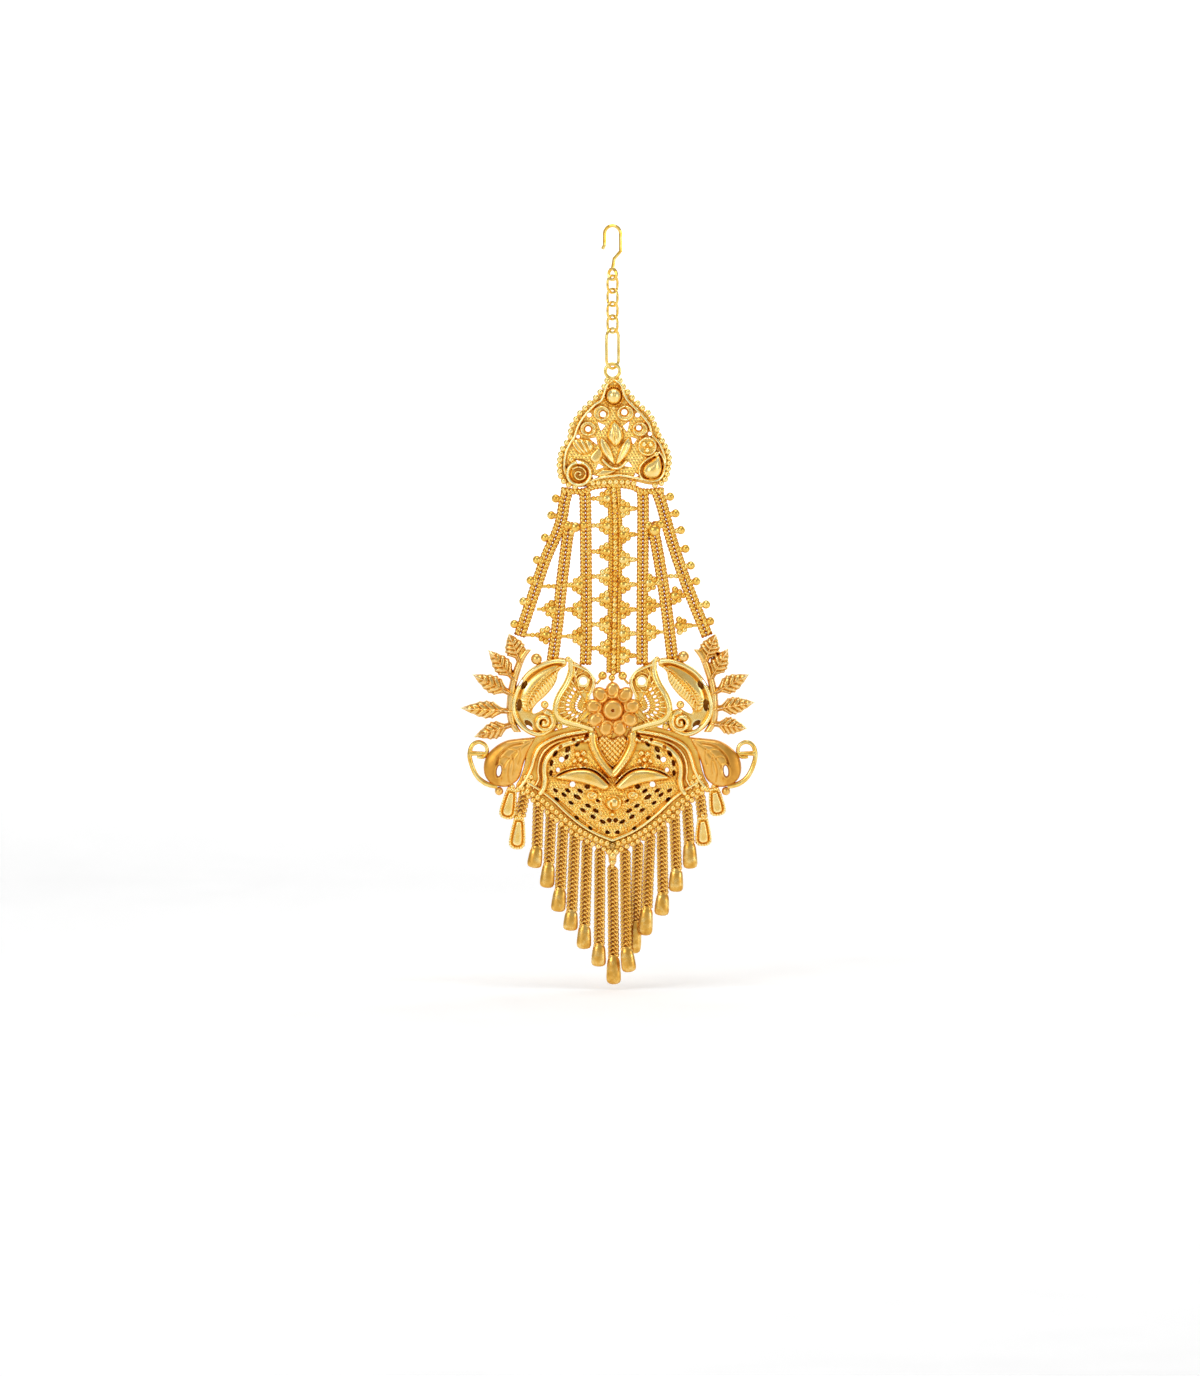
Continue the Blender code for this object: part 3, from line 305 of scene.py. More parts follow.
class Relief:
    """The front of a cast piece as heights over a grid, in steps, before it becomes a mesh."""

    # Painted shading attribute, from painted shade (dark) to painted highlight (pale): its value on flat ground, how
    # it rises with height above the surroundings, how it falls with depth below a level, and its value on the rear.
    flat, per_step, per_depth, deep_from, rear = 0.53, 0.14, 0.2, 0.8, 0.5
    thinnest = 0.5

    def __init__(self, edges, gaps=(), cell=0.6):
        xs = [x for edge in edges for x, z in edge]
        zs = [z for edge in edges for x, z in edge]
        self.cell = cell
        self.x = np.arange(min(xs) - 2, max(xs) + 2 + cell, cell)
        self.z = np.arange(min(zs) - 2, max(zs) + 2 + cell, cell)
        self.X, self.Z = np.meshgrid(self.x, self.z)
        self.height = np.zeros(self.X.shape)
        self.inside = np.max([self.reach(edge, 999) for edge in edges], axis=0)
        for gap in gaps:
            self.inside = np.minimum(self.inside, -self.reach(gap, 6))
        # An offset to the painted shading of the whole piece, or of part of it.
        self.tint = 0.0

    def window(self, points, margin):
        """The rows and columns near these points."""
        xs, zs = [p[0] for p in points], [p[1] for p in points]
        left = max(0, int((min(xs) - margin - self.x[0]) / self.cell))
        right = max(0, int((max(xs) + margin - self.x[0]) / self.cell) + 2)
        top = max(0, int((min(zs) - margin - self.z[0]) / self.cell))
        low = max(0, int((max(zs) + margin - self.z[0]) / self.cell) + 2)
        return slice(top, low), slice(left, right)

    def nearest(self, path, window):
        """Distance from a path and length along it."""
        X, Z = self.X[window], self.Z[window]
        best, along = np.full(X.shape, 1e6), np.zeros(X.shape)
        start = 0.0
        for (ax, az), (bx, bz) in zip(path, path[1:]):
            dx, dz = bx - ax, bz - az
            length = math.hypot(dx, dz) + 1e-9
            share = np.clip(((X - ax) * dx + (Z - az) * dz) / length ** 2, 0, 1)
            away = np.hypot(X - ax - share * dx, Z - az - share * dz)
            near = away < best
            best = np.where(near, away, best)
            along = np.where(near, start + share * length, along)
            start += length
        return best, along

    def reach(self, ring, margin=4):
        """Signed distance from a closed ring, positive inside it."""
        window = self.window(ring, margin)
        far = np.full(self.X.shape, -99.0)
        closed = [*ring, ring[0]]
        best = self.nearest(closed, window)[0]
        X, Z = self.X[window], self.Z[window]
        odd = np.zeros(X.shape, bool)
        for (ax, az), (bx, bz) in zip(closed, closed[1:]):
            if az != bz:
                odd ^= ((az > Z) != (bz > Z)) & (X < (bx - ax) * (Z - az) / (bz - az) + ax)
        far[window] = np.where(odd, best, -best)
        return far

    def wire(self, path, width, rise, pitch=0.0, over=False):
        """A raised wire, ribbed like a rope where it has a pitch."""
        window = self.window(path, width)
        best, along = self.nearest(path, window)
        lift = rise * np.sqrt(np.clip(1 - (2 * best / width) ** 2, 0, 1))
        if pitch:
            lift *= 0.7 + 0.3 * np.cos(2 * math.pi * (along / pitch))
        under = self.height[window]
        self.height[window] = under + lift if over else np.maximum(under, lift)

    def hoop(self, ring, width, rise, pitch=0.0, over=False):
        """A raised wire along a closed ring."""
        self.wire([*ring, ring[0]], width, rise, pitch, over)

    def groove(self, path, width, depth):
        """A soft furrow along a path."""
        window = self.window(path, width)
        best = self.nearest(path, window)[0]
        self.height[window] -= depth * np.exp(-((2.2 * best / width) ** 2))

    def dome(self, x, z, wide, high, rise, turn=0.0, over=False):
        """An oval knob, or a pit where the rise is negative and it is laid over what is there."""
        window = self.window([(x, z)], max(wide, high))
        X, Z = self.X[window] - x, self.Z[window] - z
        c, s = math.cos(math.radians(turn)), math.sin(math.radians(turn))
        away = ((X * c + Z * s) / wide * 2) ** 2 + ((Z * c - X * s) / high * 2) ** 2
        lift = rise * np.sqrt(np.clip(1 - away, 0, 1))
        under = self.height[window]
        self.height[window] = under + lift if over else np.maximum(under, lift)

    def pillow(self, ring, rise, rounding):
        """A raised form with rounded sides inside a ring, or a dish where the rise is negative."""
        away = np.clip(self.reach(ring) / rounding, 0, 1)
        lift = rise * np.sqrt(1 - (1 - away) ** 2)
        self.height = self.height + lift if rise < 0 else np.maximum(self.height, lift)

    def grains(self, ring, pitch, rise):
        """A field of small granules in staggered rows inside a ring."""
        row = pitch * 1.732
        best = np.full(self.X.shape, 1e6)
        for shift in (0.0, 0.5):
            u = (self.X / pitch + shift) % 1 - 0.5
            v = (self.Z / row + shift) % 1 - 0.5
            best = np.minimum(best, np.hypot(u * pitch, v * row))
        lift = rise * np.sqrt(np.clip(1 - (2 * best / pitch) ** 2, 0, 1))
        self.height += np.where(self.reach(ring) > 0.6, lift, 0)

    def solid(self, front, back, rounding=1.4):
        """A closed bmesh from the heights above a front depth down to a flat back, both in steps."""
        cells = [self.inside[a:b, c:d] for a, b in ((0, -1), (1, None)) for c, d in ((0, -1), (1, None))]
        keep = np.mean(cells, axis=0) > 0
        around = np.pad(keep.astype(int), 1)
        touching = around[:-1, :-1] + around[1:, :-1] + around[:-1, 1:] + around[1:, 1:]
        rim = (touching > 0) & (touching < 4)
        down, right = np.gradient(self.inside, self.cell)
        X = self.X - np.where(rim, np.clip(right * self.inside, -self.cell, self.cell) * 0.9, 0)
        Z = self.Z - np.where(rim, np.clip(down * self.inside, -self.cell, self.cell) * 0.9, 0)
        near = np.clip(np.where(rim, 0, self.inside) / rounding, 0, 1)
        depth = front + self.height - rounding * (1 - np.sqrt(1 - (1 - near) ** 2))
        depth = np.maximum(depth, back + self.thinnest)
        # Painted shading: darker than flat ground in hollows and more so in pits (painted shade), paler on high
        # places (painted highlight).
        soft = self.height.copy()
        for axis in (0, 1):
            for reach in (1, 2, 3):
                soft = (np.roll(soft, reach, axis) + np.roll(soft, -reach, axis) + soft) / 3
        pit = np.clip(-self.height - self.deep_from, 0, 3)
        painted_shading_level = self.flat + self.tint + (self.height - soft) * self.per_step - self.per_depth * pit
        painted_shading_level = np.clip(painted_shading_level, 0, 1)
        body = bmesh.new()
        bmesh.ops.create_grid(body, x_segments=len(self.x) - 1, y_segments=len(self.z) - 1, size=1)
        painted_shading = body.verts.layers.float.new("painted_shading")
        for vert, x, y, z, value in zip(body.verts, X.flat, depth.flat, Z.flat, painted_shading_level.flat):
            vert.co = (x * STEP, -y * STEP, -z * STEP)
            vert[painted_shading] = value
        doomed = [face for face, stay in zip(body.faces, keep.flat) if not stay]
        bmesh.ops.delete(body, geom=doomed, context="FACES")
        made = bmesh.ops.extrude_face_region(body, geom=body.faces[:], use_keep_orig=True)["geom"]
        rear = [v for v in made if isinstance(v, bmesh.types.BMVert)]
        for vert in rear:
            vert.co.y = -back * STEP
            vert[painted_shading] = self.rear
        lines = [e for e in made if isinstance(e, bmesh.types.BMEdge)]
        bmesh.ops.dissolve_limit(body, angle_limit=0.02, verts=rear, edges=lines)
        bmesh.ops.recalc_face_normals(body, faces=body.faces)
        return body


def curved(points, closed=False, parts=4):
    """A smooth line through points."""
    count = len(points)
    line = []
    for k in range(count if closed else count - 1):
        if closed:
            p = [Vector(points[(k + j) % count]) for j in (-1, 0, 1, 2)]
        else:
            p = [Vector(points[min(max(k + j, 0), count - 1)]) for j in (-1, 0, 1, 2)]
        for part in range(parts):
            t = part / parts
            bend = 2 * p[0] - 5 * p[1] + 4 * p[2] - p[3]
            twist = 3 * (p[1] - p[2]) + p[3] - p[0]
            line.append(tuple(p[1] + 0.5 * t * ((p[2] - p[0]) + t * (bend + t * twist))))
    if not closed:
        line.append(tuple(points[-1]))
    return line


def circle(x, z, wide, high=None, turn=0.0, count=20):
    """A closed ring of points round a place."""
    high = high or wide
    c, s = math.cos(math.radians(turn)), math.sin(math.radians(turn))
    ring = []
    for k in range(count):
        a, b = math.cos(2 * math.pi * k / count) * wide / 2, math.sin(2 * math.pi * k / count) * high / 2
        ring.append((x + a * c - b * s, z + a * s + b * c))
    return ring


def sided(points, side):
    """The points as they are for side 1, or on the other side of the middle for side -1."""
    return [(x * side, z) for x, z in points]


def spaced(path, pitch):
    """Points at an even pitch along a path."""
    lengths = [0.0]
    for a, b in zip(path, path[1:]):
        lengths.append(lengths[-1] + math.hypot(b[0] - a[0], b[1] - a[1]))
    count = max(1, round(lengths[-1] / pitch))
    marks = np.linspace(0, lengths[-1], count + 1)
    xs = np.interp(marks, lengths, [p[0] for p in path])
    return list(zip(xs, np.interp(marks, lengths, [p[1] for p in path])))


# Segments round and rings from top to bottom of a granule, by its size
FINE, GRAIN, ROUND, KNOB = (10, 7), (10, 8), (12, 8), (14, 10)
# Painted shading value of a granule: a little paler than flat ground, as a painted highlight.
BEAD_PAINTED_SHADING = 0.6
granule_shapes = {}


def add_bead(body, x, z, y, radius, detail=FINE, flat=1.0):
    """A gold granule, placed and sized in steps, joined to a bmesh. It carries the painted highlight of a high place.
    """
    if detail not in granule_shapes:
        ball = bmesh.new()
        high = ball.verts.layers.float.new("painted_shading")
        upright = Matrix.Rotation(math.pi / 2, 4, "X")
        bmesh.ops.create_uvsphere(ball, u_segments=detail[0], v_segments=detail[1], radius=1.0, matrix=upright)
        for vert in ball.verts:
            vert[high] = BEAD_PAINTED_SHADING
        granule_shapes[detail] = bpy.data.meshes.new("granule")
        ball.to_mesh(granule_shapes[detail])
        ball.free()
    copy = granule_shapes[detail].copy()
    size = Matrix.Diagonal((radius * STEP, radius * flat * STEP, radius * STEP, 1.0))
    copy.transform(Matrix.Translation(at(x, z, y)) @ size)
    body.from_mesh(copy)
    bpy.data.meshes.remove(copy)


CREST_EDGE = [
    (1, 150), (-5.5, 151), (-8, 158.5), (-16, 168), (-24, 176), (-31.5, 183), (-37.5, 190), (-41.5, 200),
    (-43.5, 209), (-48, 217.5), (-52, 223), (-54, 230), (-54.5, 237), (-54, 245), (-51, 252.5), (-45.5, 256.5),
    (-39, 258.5), (-31, 259), (-23, 258), (-17.5, 255.5), (-9.5, 254), (0, 253), (11, 253), (20.5, 253),
    (27, 254.5), (36.5, 256.5), (46, 256.5), (51.5, 253), (55, 247), (56, 238), (56.5, 229.5), (55.5, 222),
    (52, 215.5), (47, 208), (43.5, 200), (38, 190.5), (32, 183), (24.5, 176), (18, 168), (11, 158.5), (7.5, 151),
]
CREST_BORDER = [
    (1, 152.5), (-5, 156), (-8, 164), (-11, 172), (-17.5, 176.5), (-25.5, 184.5), (-32, 193.5), (-36, 202),
    (-38, 208.5), (-42.5, 215.5), (-46.5, 223.5), (-48, 232.5), (-48, 240.5), (-45.5, 248.5), (-41, 253.5),
    (-33, 255), (-25, 254.5), (-19, 251.5), (-9.5, 249), (-1.5, 248), (6.5, 247), (14, 248), (22, 249.5),
    (29.5, 251), (37.5, 252.5), (44.5, 251.5), (49.5, 247.5), (52, 239.5), (52.5, 231), (50, 222), (46, 214),
    (39.5, 207), (37, 197.5), (31, 189), (23, 180.5), (16, 173.5), (12, 167), (9.5, 159), (6.5, 154.5),
]
CREST_GAPS = [
    circle(-9.5, 186.2, 5.6), circle(11.8, 184.2, 5.6), circle(-24.4, 201, 5.2), circle(26.2, 199.8, 4.8),
    [(-15, 194), (-7, 197.5), (-11.5, 203)], [(17, 193), (10.5, 198), (14.5, 204)],
    [(-23, 210.5), (-16.5, 209.5), (-15, 217)], [(18.5, 209), (24.5, 211), (20.5, 216.5)],
    [(-36.5, 231.5), (-30, 234.5), (-35, 235.5)], [(-14, 235.5), (-8.5, 239), (-17, 242)],
    [(16, 233.5), (20, 239), (11.5, 238)], [(-20, 247), (-13.5, 248.5), (-19, 251)],
    [(23, 245), (26.5, 247.5), (21, 249.5)], circle(-23.2, 187, 4.4), circle(25, 187, 4.6),
    circle(37.4, 205.7, 4.0), circle(-34.4, 208.5, 3.4),
]
crest = Relief([curved(CREST_EDGE, True, 3)], CREST_GAPS)
crest.grains(curved(CREST_BORDER, True, 2), 3.2, 0.7)
crest.wire(curved([*CREST_BORDER, CREST_BORDER[0]]), 3.6, 4.0)
for x, z, size, hole_x, hole_z in (
    (-11, 185, 17.5, -9.5, 186.2), (12.8, 185, 18, 11.8, 184.2), (-24.4, 200.6, 17, -24.4, 201),
    (27.4, 201, 16.5, 26.2, 199.8),
):
    crest.pillow(circle(x, z, size, size * 0.92), 3.4, 4.5)
    crest.pillow(circle(hole_x, hole_z, size * 0.52), -2.4, 3.0)
    crest.hoop(circle(x, z, size - 3, size * 0.92 - 3), 2.6, 4.8)
crest.dome(1.2, 168, 15.6, 16.6, 8.5)
crest.groove([(1.6, 160), (2.0, 176)], 1.4, 0.5)
crest.hoop(circle(1.2, 168, 18.6, 19.4), 2.6, 4.6, 2.4)
crest.dome(-1.3, 154, 10, 5, -2.6, over=True)
for ring, rise, rib in (
    ([(1.5, 192.5), (-2.5, 198), (-5, 205.5), (-3.5, 212.5), (3.5, 218.5), (9.5, 212.5), (10.8, 206), (8, 198)], 7.2,
     [(2, 194), (3, 217)]),
    ([(-11.5, 209.5), (-13.2, 215.5), (-10.5, 224), (-5.5, 231), (2.5, 237), (1.2, 229), (-1.5, 219.5),
      (-6, 213)], 5.8, [(-10.5, 212), (1.5, 235)]),
    ([(16.5, 209.5), (12, 212.5), (7.5, 219), (4.8, 227.5), (3.5, 237), (11, 231.5), (17, 223.5), (19, 216.5)], 5.8,
     [(16, 212), (5, 235)]),
):
    crest.pillow(curved(ring, True, 3), rise, 5.0)
    crest.groove(rib, 3.0, 1.5)
crest.wire(curved([(2, 193.5), (2.6, 205), (3.6, 217.5)]), 2.2, 1.6, over=True)
crest.wire(curved([(-9.7, 231.6), (-3.3, 238), (3.9, 240.4), (10.3, 237.2), (13.5, 233.5)]), 3.6, 6.2)
crest.pillow(curved([(-17.5, 247), (-10.5, 241.5), (-1.5, 241), (6, 241.5), (-1.5, 246), (-9.5, 248.5)], True), 3,
             2.5)
crest.pillow(curved([(-19, 223), (-13, 219), (-9.5, 226), (-13, 233), (-19, 234.5), (-23, 230)], True), 2.4, 3)
crest.pillow(curved([(-40.5, 212), (-38, 220.5), (-31, 226.5), (-23.5, 225), (-18.5, 219), (-22, 212.5),
                     (-31, 210)], True), 5.6, 5)
for a, b in (((-39, 214), (-30, 225.5)), ((-34, 212), (-27, 225)), ((-28.5, 211.5), (-23.5, 223.5))):
    crest.groove([a, b], 2.4, 2.0)
crest.pillow(circle(-33.6, 245.3, 26.5), 4.8, 3.4)
crest.pillow(circle(-33.4, 245.8, 19), -3.6, 4.0)
crest.hoop(circle(-33.6, 245.3, 23), 4.4, 7.4)
spiral = [
    (-33.4 + (8.6 - k * 0.30) * math.cos(0.38 * k - 2.4), 246.2 + (8.0 - k * 0.28) * math.sin(0.38 * k - 2.4))
    for k in range(27)
]
crest.wire(spiral, 2.8, 5.8)
crest.pillow(circle(34.8, 218.2, 19.5), 4.4, 3.5)
crest.hoop(circle(34.8, 218.2, 16.6), 3.2, 6.0)
for angle in (90, 210, 330):
    a = math.radians(angle)
    crest.dome(34.8 + 3.8 * math.cos(a), 218.2 + 3.8 * math.sin(a), 7.6, 7.6, 7.6)
TEAR = [(46.5, 227), (39.5, 231.5), (32.5, 236.5), (30, 243), (32, 248.5), (38, 251), (45, 249.5), (49, 243.5),
        (49.5, 235.5)]
TEAR_FRAME = [
    (46.8, 224), (40, 228), (34, 231.5), (28, 237.5), (27, 245), (31, 251), (39, 253), (46.5, 251.5), (51.4, 244.5),
    (52, 235.5), (50, 228.5), (46.8, 224),
]
crest.wire(curved(TEAR_FRAME), 2.8, 4.6)
crest.pillow(curved(TEAR, True), 9.2, 9.0)
body = crest.solid(2.0, -2.0)
CREST_GRAINS = [
    [(-5.5, 152.5), (-8.5, 158.5), (-12.5, 164), (-17, 169.5), (-23, 175), (-28, 180), (-33, 185), (-37, 191),
     (-41, 197), (-42.5, 203), (-43, 208.5), (-46.5, 214.5), (-50.5, 220.5), (-52.5, 226), (-53.5, 231.5),
     (-54, 237), (-53.5, 243), (-52.5, 248), (-49.5, 253), (-44.5, 256.5), (-38, 258.6)],
    [(7.5, 152.5), (11, 158.5), (15.5, 164), (20, 169.5), (25.5, 175), (30.5, 180), (36, 184.5), (40, 190),
     (42.5, 196), (45, 201.5), (47, 207), (50.5, 212.5), (53.5, 218), (56, 223.5), (57.5, 229.5), (57.5, 235),
     (56.5, 240.5), (55.5, 246), (53.5, 251), (49.5, 255), (43, 257.2)],
    [(-20, 255), (-14.5, 254.4), (-8.5, 254.4), (-2.5, 253.6), (3.5, 253.6), (9.5, 253.6), (15.5, 254), (21.5, 255)],
]
for row in CREST_GRAINS:
    for x, z in row:
        add_bead(body, x * 0.985, z, 2.6, 3.15, GRAIN, 0.95)
for x, z, y, radius in ((1.1, 180, 4.4, 2.2), (-41.2, 231.3, 3.6, 3.2), (43.7, 226, 4.0, 2.9)):
    add_bead(body, x, z, y, radius, GRAIN)
crest_gold = gold("cast_pale_gold_crest", "#D59338", "#FED26F", "#FFF7BD", 0.24, painted_shading=True)
made = mesh_piece("crest_cast", body, crest_gold, "pendant")
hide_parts("crest")
BAIL_SIZE, BAIL_WIRE = 0.00288, 0.00072
bail = ring_path(at(0, 143.2), BAIL_SIZE, BAIL_SIZE, 0.0, 32)
curve_piece("crest_bail_ring", [bail], BAIL_WIRE, pale_gold, "pendant", True, 12)

# ----------------------------------------
# Fan: seven strips, each of two wires twisted from two strands and soldered side by side. Cross
# pins with collars carry trefoils of granules, and round knobs stand off the outer strips.
wire_gold = gold("twisted_gold_wire", "#DA9A34", "#F0BE52", "#FADC86", 0.22, mottle_mm=2.0, grain=0.08, painted_shading=True)
granule_gold = gold("fused_gold_granules", "#DE9F39", "#F3C761", "#FAE59C", 0.2, mottle_mm=1.5, grain=0.05)


def raised(depth, low, gain, start, reach):
    """Painted shading value of a wire: painted shade at its middle plane, paler towards its front and back."""
    return low + gain * min(1.0, max(0.0, (depth - start) / reach))


def fan(x, z):
    """Steps from shares of the fan's width and height."""
    return (x * 90, 244.35 + z * 186)


def beside(line, k, shift):
    """The place at an offset to the side of point k of a flat path."""
    (ax, az), (bx, bz) = line[max(k - 1, 0)], line[min(k + 1, len(line) - 1)]
    length = math.hypot(bx - ax, bz - az)
    return line[k][0] + (bz - az) / length * shift, line[k][1] - (bx - ax) / length * shift


def twisted(path, offset, wide, turns_per_step, strands=2, points_per_turn=12, hand=1):
    """Paths of the strands of a twisted wire that runs at an offset beside a flat path."""
    line = spaced(path, 1 / (turns_per_step * points_per_turn))
    out = []
    for strand in range(strands):
        helix = []
        for k in range(len(line)):
            angle = 2 * math.pi * (hand * k / points_per_turn + strand / strands)
            helix.append(at(*beside(line, k, offset + wide * math.cos(angle)), wide * math.sin(angle)))
        out.append(helix)
    return out


FAN_STRIPS = [
    [(-0.50, 0.10), (-0.535, 0.16), (-0.56, 0.24), (-0.62, 0.33), (-0.74, 0.46), (-0.86, 0.63), (-1.03, 0.875)],
    [(-0.47, 0.27), (-0.50, 0.35), (-0.56, 0.58), (-0.61, 0.81), (-0.67, 1.02)],
    [(-0.31, 0.10), (-0.30, 0.20), (-0.29, 0.81), (-0.30, 1.03)],
    [(0.33, 0.10), (0.34, 0.20), (0.33, 0.81), (0.33, 1.03)],
    [(0.44, 0.27), (0.51, 0.45), (0.57, 0.63), (0.62, 0.81), (0.67, 1.015)],
    [(0.49, 0.10), (0.545, 0.17), (0.66, 0.37), (0.83, 0.61), (1.05, 0.875)],
]
FAN_YOKE = [
    (-0.56, 0.094), (-0.45, 0.101), (-0.32, 0.101), (-0.23, 0.080), (-0.11, 0.070), (0.01, 0.066), (0.13, 0.070),
    (0.23, 0.080), (0.32, 0.101), (0.45, 0.101), (0.56, 0.094),
]
strands = []
for strip in FAN_STRIPS:
    path = curved([fan(x, z) for x, z in strip])
    for hand in (-1, 1):
        strands += twisted(path, 3.0 * hand, 1.45, 1 / 8, hand=hand)
centre = [fan(0.01, 0.066), fan(0.03, 0.26), fan(0.03, 0.53), fan(0.01, 1.075)]
for hand in (-1, 1):
    strands += twisted(curved(centre), 4.7 * hand, 0.9, 1 / 6, hand=hand)
strands += twisted(curved([fan(x, z) for x, z in FAN_YOKE]), 0.0, 1.7, 1 / 8)
# The twisted wires carry painted shade at their middle plane, between the strands, and are paler towards front and
# back.
made = curve_piece("fan_twisted_wires", strands, 3.8 * STEP, wire_gold, "pendant", sides=6,
                   shade=lambda x, y, z: raised(abs(y) / STEP, 0.16, 0.5, 1.0, 2.1))
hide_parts("fan_lattice")
# Cross pins: x share where it meets its strip, x share of its far end, x share of its cluster, z share
pins = [(0.02, -0.30, -0.075, z) for z in (0.14, 0.285, 0.425, 0.559, 0.683, 0.817, 0.945)]
pins += [(0.03, 0.33, 0.125, z) for z in (0.194, 0.333, 0.468, 0.602, 0.737, 0.866, 0.985)]
pins += [(-0.29, -0.58, -0.375, z) for z in (0.605, 0.737, 0.881)]
pins += [(0.33, 0.58, 0.415, z) for z in (0.593, 0.714, 0.858)]
pins += [
    (-0.58, -0.84, -0.68, 0.735), (-0.62, -0.98, -0.745, 0.874), (0.60, 0.86, 0.70, 0.662),
    (0.63, 0.96, 0.755, 0.823), (-0.56, -0.80, None, 0.612), (0.56, 0.80, None, 0.557),
]
body = bmesh.new()
rods = []
for x, z in spaced(curved(centre), 5.2):
    add_bead(body, x, z, 1.2, 3.3, GRAIN)
chooser = random.Random(7)
for near_x, far_x, cluster_x, share in pins:
    (ax, z), (bx, _) = fan(near_x, share), fan(far_x, share)
    toward = 1 if bx > ax else -1
    rods.append([at(ax, z, 0.2), at(bx, z, 0.2)])
    add_bead(body, bx - toward * 8.2, z, 0.4, 2.7)
    if cluster_x is None:
        add_bead(body, ax + toward * 8.2, z, 0.4, 2.7)
        continue
    cx = fan(cluster_x, share)[0]
    add_bead(body, cx - toward * 0.6, z, 1.0, 5.2, ROUND, 0.8)
    add_bead(body, cx + toward * 7.6, z, 0.6, 3.1)
    lean = chooser.uniform(-7, 7)
    for angle, out, radius in ((-100, 6.3, 3.5), (-48, 5.6, 3.1), (0, 4.0, 2.8), (48, 5.6, 3.1), (100, 6.3, 3.5)):
        a = math.radians(angle + lean)
        add_bead(body, cx + toward * out * math.cos(a), z + out * math.sin(a), 1.9, radius)
FAN_KNOBS = [
    (-0.63, 0.14), (-0.68, 0.23), (-0.75, 0.35), (-0.84, 0.47), (-0.91, 0.580), (-0.99, 0.693), (-1.09, 0.815),
    (0.64, 0.13), (0.70, 0.22), (0.76, 0.31), (0.81, 0.41), (0.87, 0.50), (0.93, 0.585), (1.04, 0.71), (1.085, 0.80),
]
for x, share in FAN_KNOBS:
    (kx, kz), (ix, iz) = fan(x, share), fan(x * 0.88, share + 0.008)
    rods.append([at(kx, kz, 0.4), at(ix, iz, 0.4)])
    add_bead(body, kx, kz, 0.6, 4.4, KNOB)
    add_bead(body, kx * 0.52 + ix * 0.48, kz * 0.52 + iz * 0.48, 0.5, 3.0)
for x, z, radius in ((-45, 297, 4.4), (-37, 299, 5.2), (-29, 297, 4.4), (-41, 304, 3.4), (36, 297, 4.2),
                     (42, 302, 6.2), (48, 296, 4.4)):
    add_bead(body, x, z, 1.6, radius, KNOB, 0.8)
mesh_piece("fan_granules_and_knobs", body, granule_gold, "pendant")
curve_piece("fan_cross_pins", rods, 3.4 * STEP, granule_gold, "pendant", sides=8)

# ----------------------------------------
# Shield: the cast heart of the medallion. Three ridges follow each shoulder, a raised V band
# holds a heart of lattice, two smooth wing leaves lie under it, and granules edge the lower V.
medallion_gold = gold("cast_gold_medallion", "#D0892E", "#F9C459", "#FFF0AD", 0.26, painted_shading=True)
SHIELD_EDGE = [
    (0, 504), (-11.5, 500), (-24.5, 497.5), (-40, 498), (-56, 502), (-70, 506), (-80, 510.5), (-85, 519),
    (-87, 530), (-89.5, 542), (-93.5, 552), (-97, 559.5), (-89, 564), (-76, 573.5), (-62.5, 585), (-46.5, 598.5),
    (-30.5, 609), (-15.5, 617), (-5, 622), (-4, 634), (0, 638),
]
edge = SHIELD_EDGE + sided(SHIELD_EDGE[-2:0:-1], -1)
SLITS = [
    (-26.5, 509, 3.4, 6.5, 30), (-39, 511.6, 3, 3.6, 0), (-34.8, 515.5, 3.6, 7, 38), (-44.8, 521.4, 3.8, 7, 40),
    (-57.3, 525.3, 3.8, 7.6, 32), (-61, 535, 3.2, 6.4, 12), (-61.5, 545, 3.2, 6.0, 5), (-46, 529, 3.4, 5.4, 35),
    (-30, 513.5, 3.0, 4.4, 35), (-52, 518.5, 3.0, 4.6, 40),
]
LOW_SLITS = [
    (-45, 562.4, 6.6, 3, 35), (-48.6, 566.8, 6, 3, 38), (-35.5, 569, 8, 3.7, 32), (-32.5, 563, 6, 3.2, 30),
    (-25.2, 558.7, 5, 4.4, 0), (-57, 562.5, 5.6, 3, 35), (-55.5, 571.5, 6, 3, 40), (-41.5, 575, 5.5, 2.8, 35),
    (-14.5, 573, 5, 2.8, 30), (-36, 590, 5, 2.6, 38), (-22, 600.5, 5, 2.6, 32), (3.2, 592.5, 4.6, 4.2, 0),
    (-24.5, 577.8, 6, 3.2, 30), (-29.6, 582.2, 6.4, 3.2, 35), (-16.5, 582.9, 6, 3.4, 28),
    (-19.5, 588.8, 6, 3.4, 32), (-9.8, 593.9, 6.4, 3.4, 28), (-5, 604.5, 4.5, 3.6, 25),
]
PIT_DEPTH = 4.2
OPEN = [(-50.9, 531.6, 5.4, 5.4, 0), (-40, 556.5, 5.6, 5.4, 0), (-54.6, 541.8, 3.6, 4.4, 15)]
gaps = [circle(x * side, z, w, h, turn * side, 12) for x, z, w, h, turn in OPEN for side in (1, -1)]
shield = Relief([curved(edge, True, 2)], gaps)
shield.grains([(-66, 522), (66, 522), (70, 560), (0, 612), (-70, 560)], 3.0, 0.9)
BANDS = [
    ([(-26, 503), (-48, 507), (-62.5, 512), (-73, 519), (-78, 528.5), (-81.5, 540.5), (-87, 552), (-92.5, 559)],
     4.6, 4.4),
    ([(-24.5, 507), (-46.5, 511.5), (-59.5, 516), (-68.5, 523.5), (-73, 532.5), (-74.5, 542.5), (-74, 551.5),
      (-79, 560.5)], 3.0, 3.0),
    ([(-24.5, 511), (-42, 514.5), (-54.5, 519.5), (-63.5, 527.5), (-67.5, 535.5), (-68.2, 544), (-67.5, 552),
      (-69, 560), (-72, 565)], 6.6, 6.2),
]
for band, width, rise in BANDS:
    for side in (1, -1):
        shield.wire(curved(sided(band, side)), width, rise)
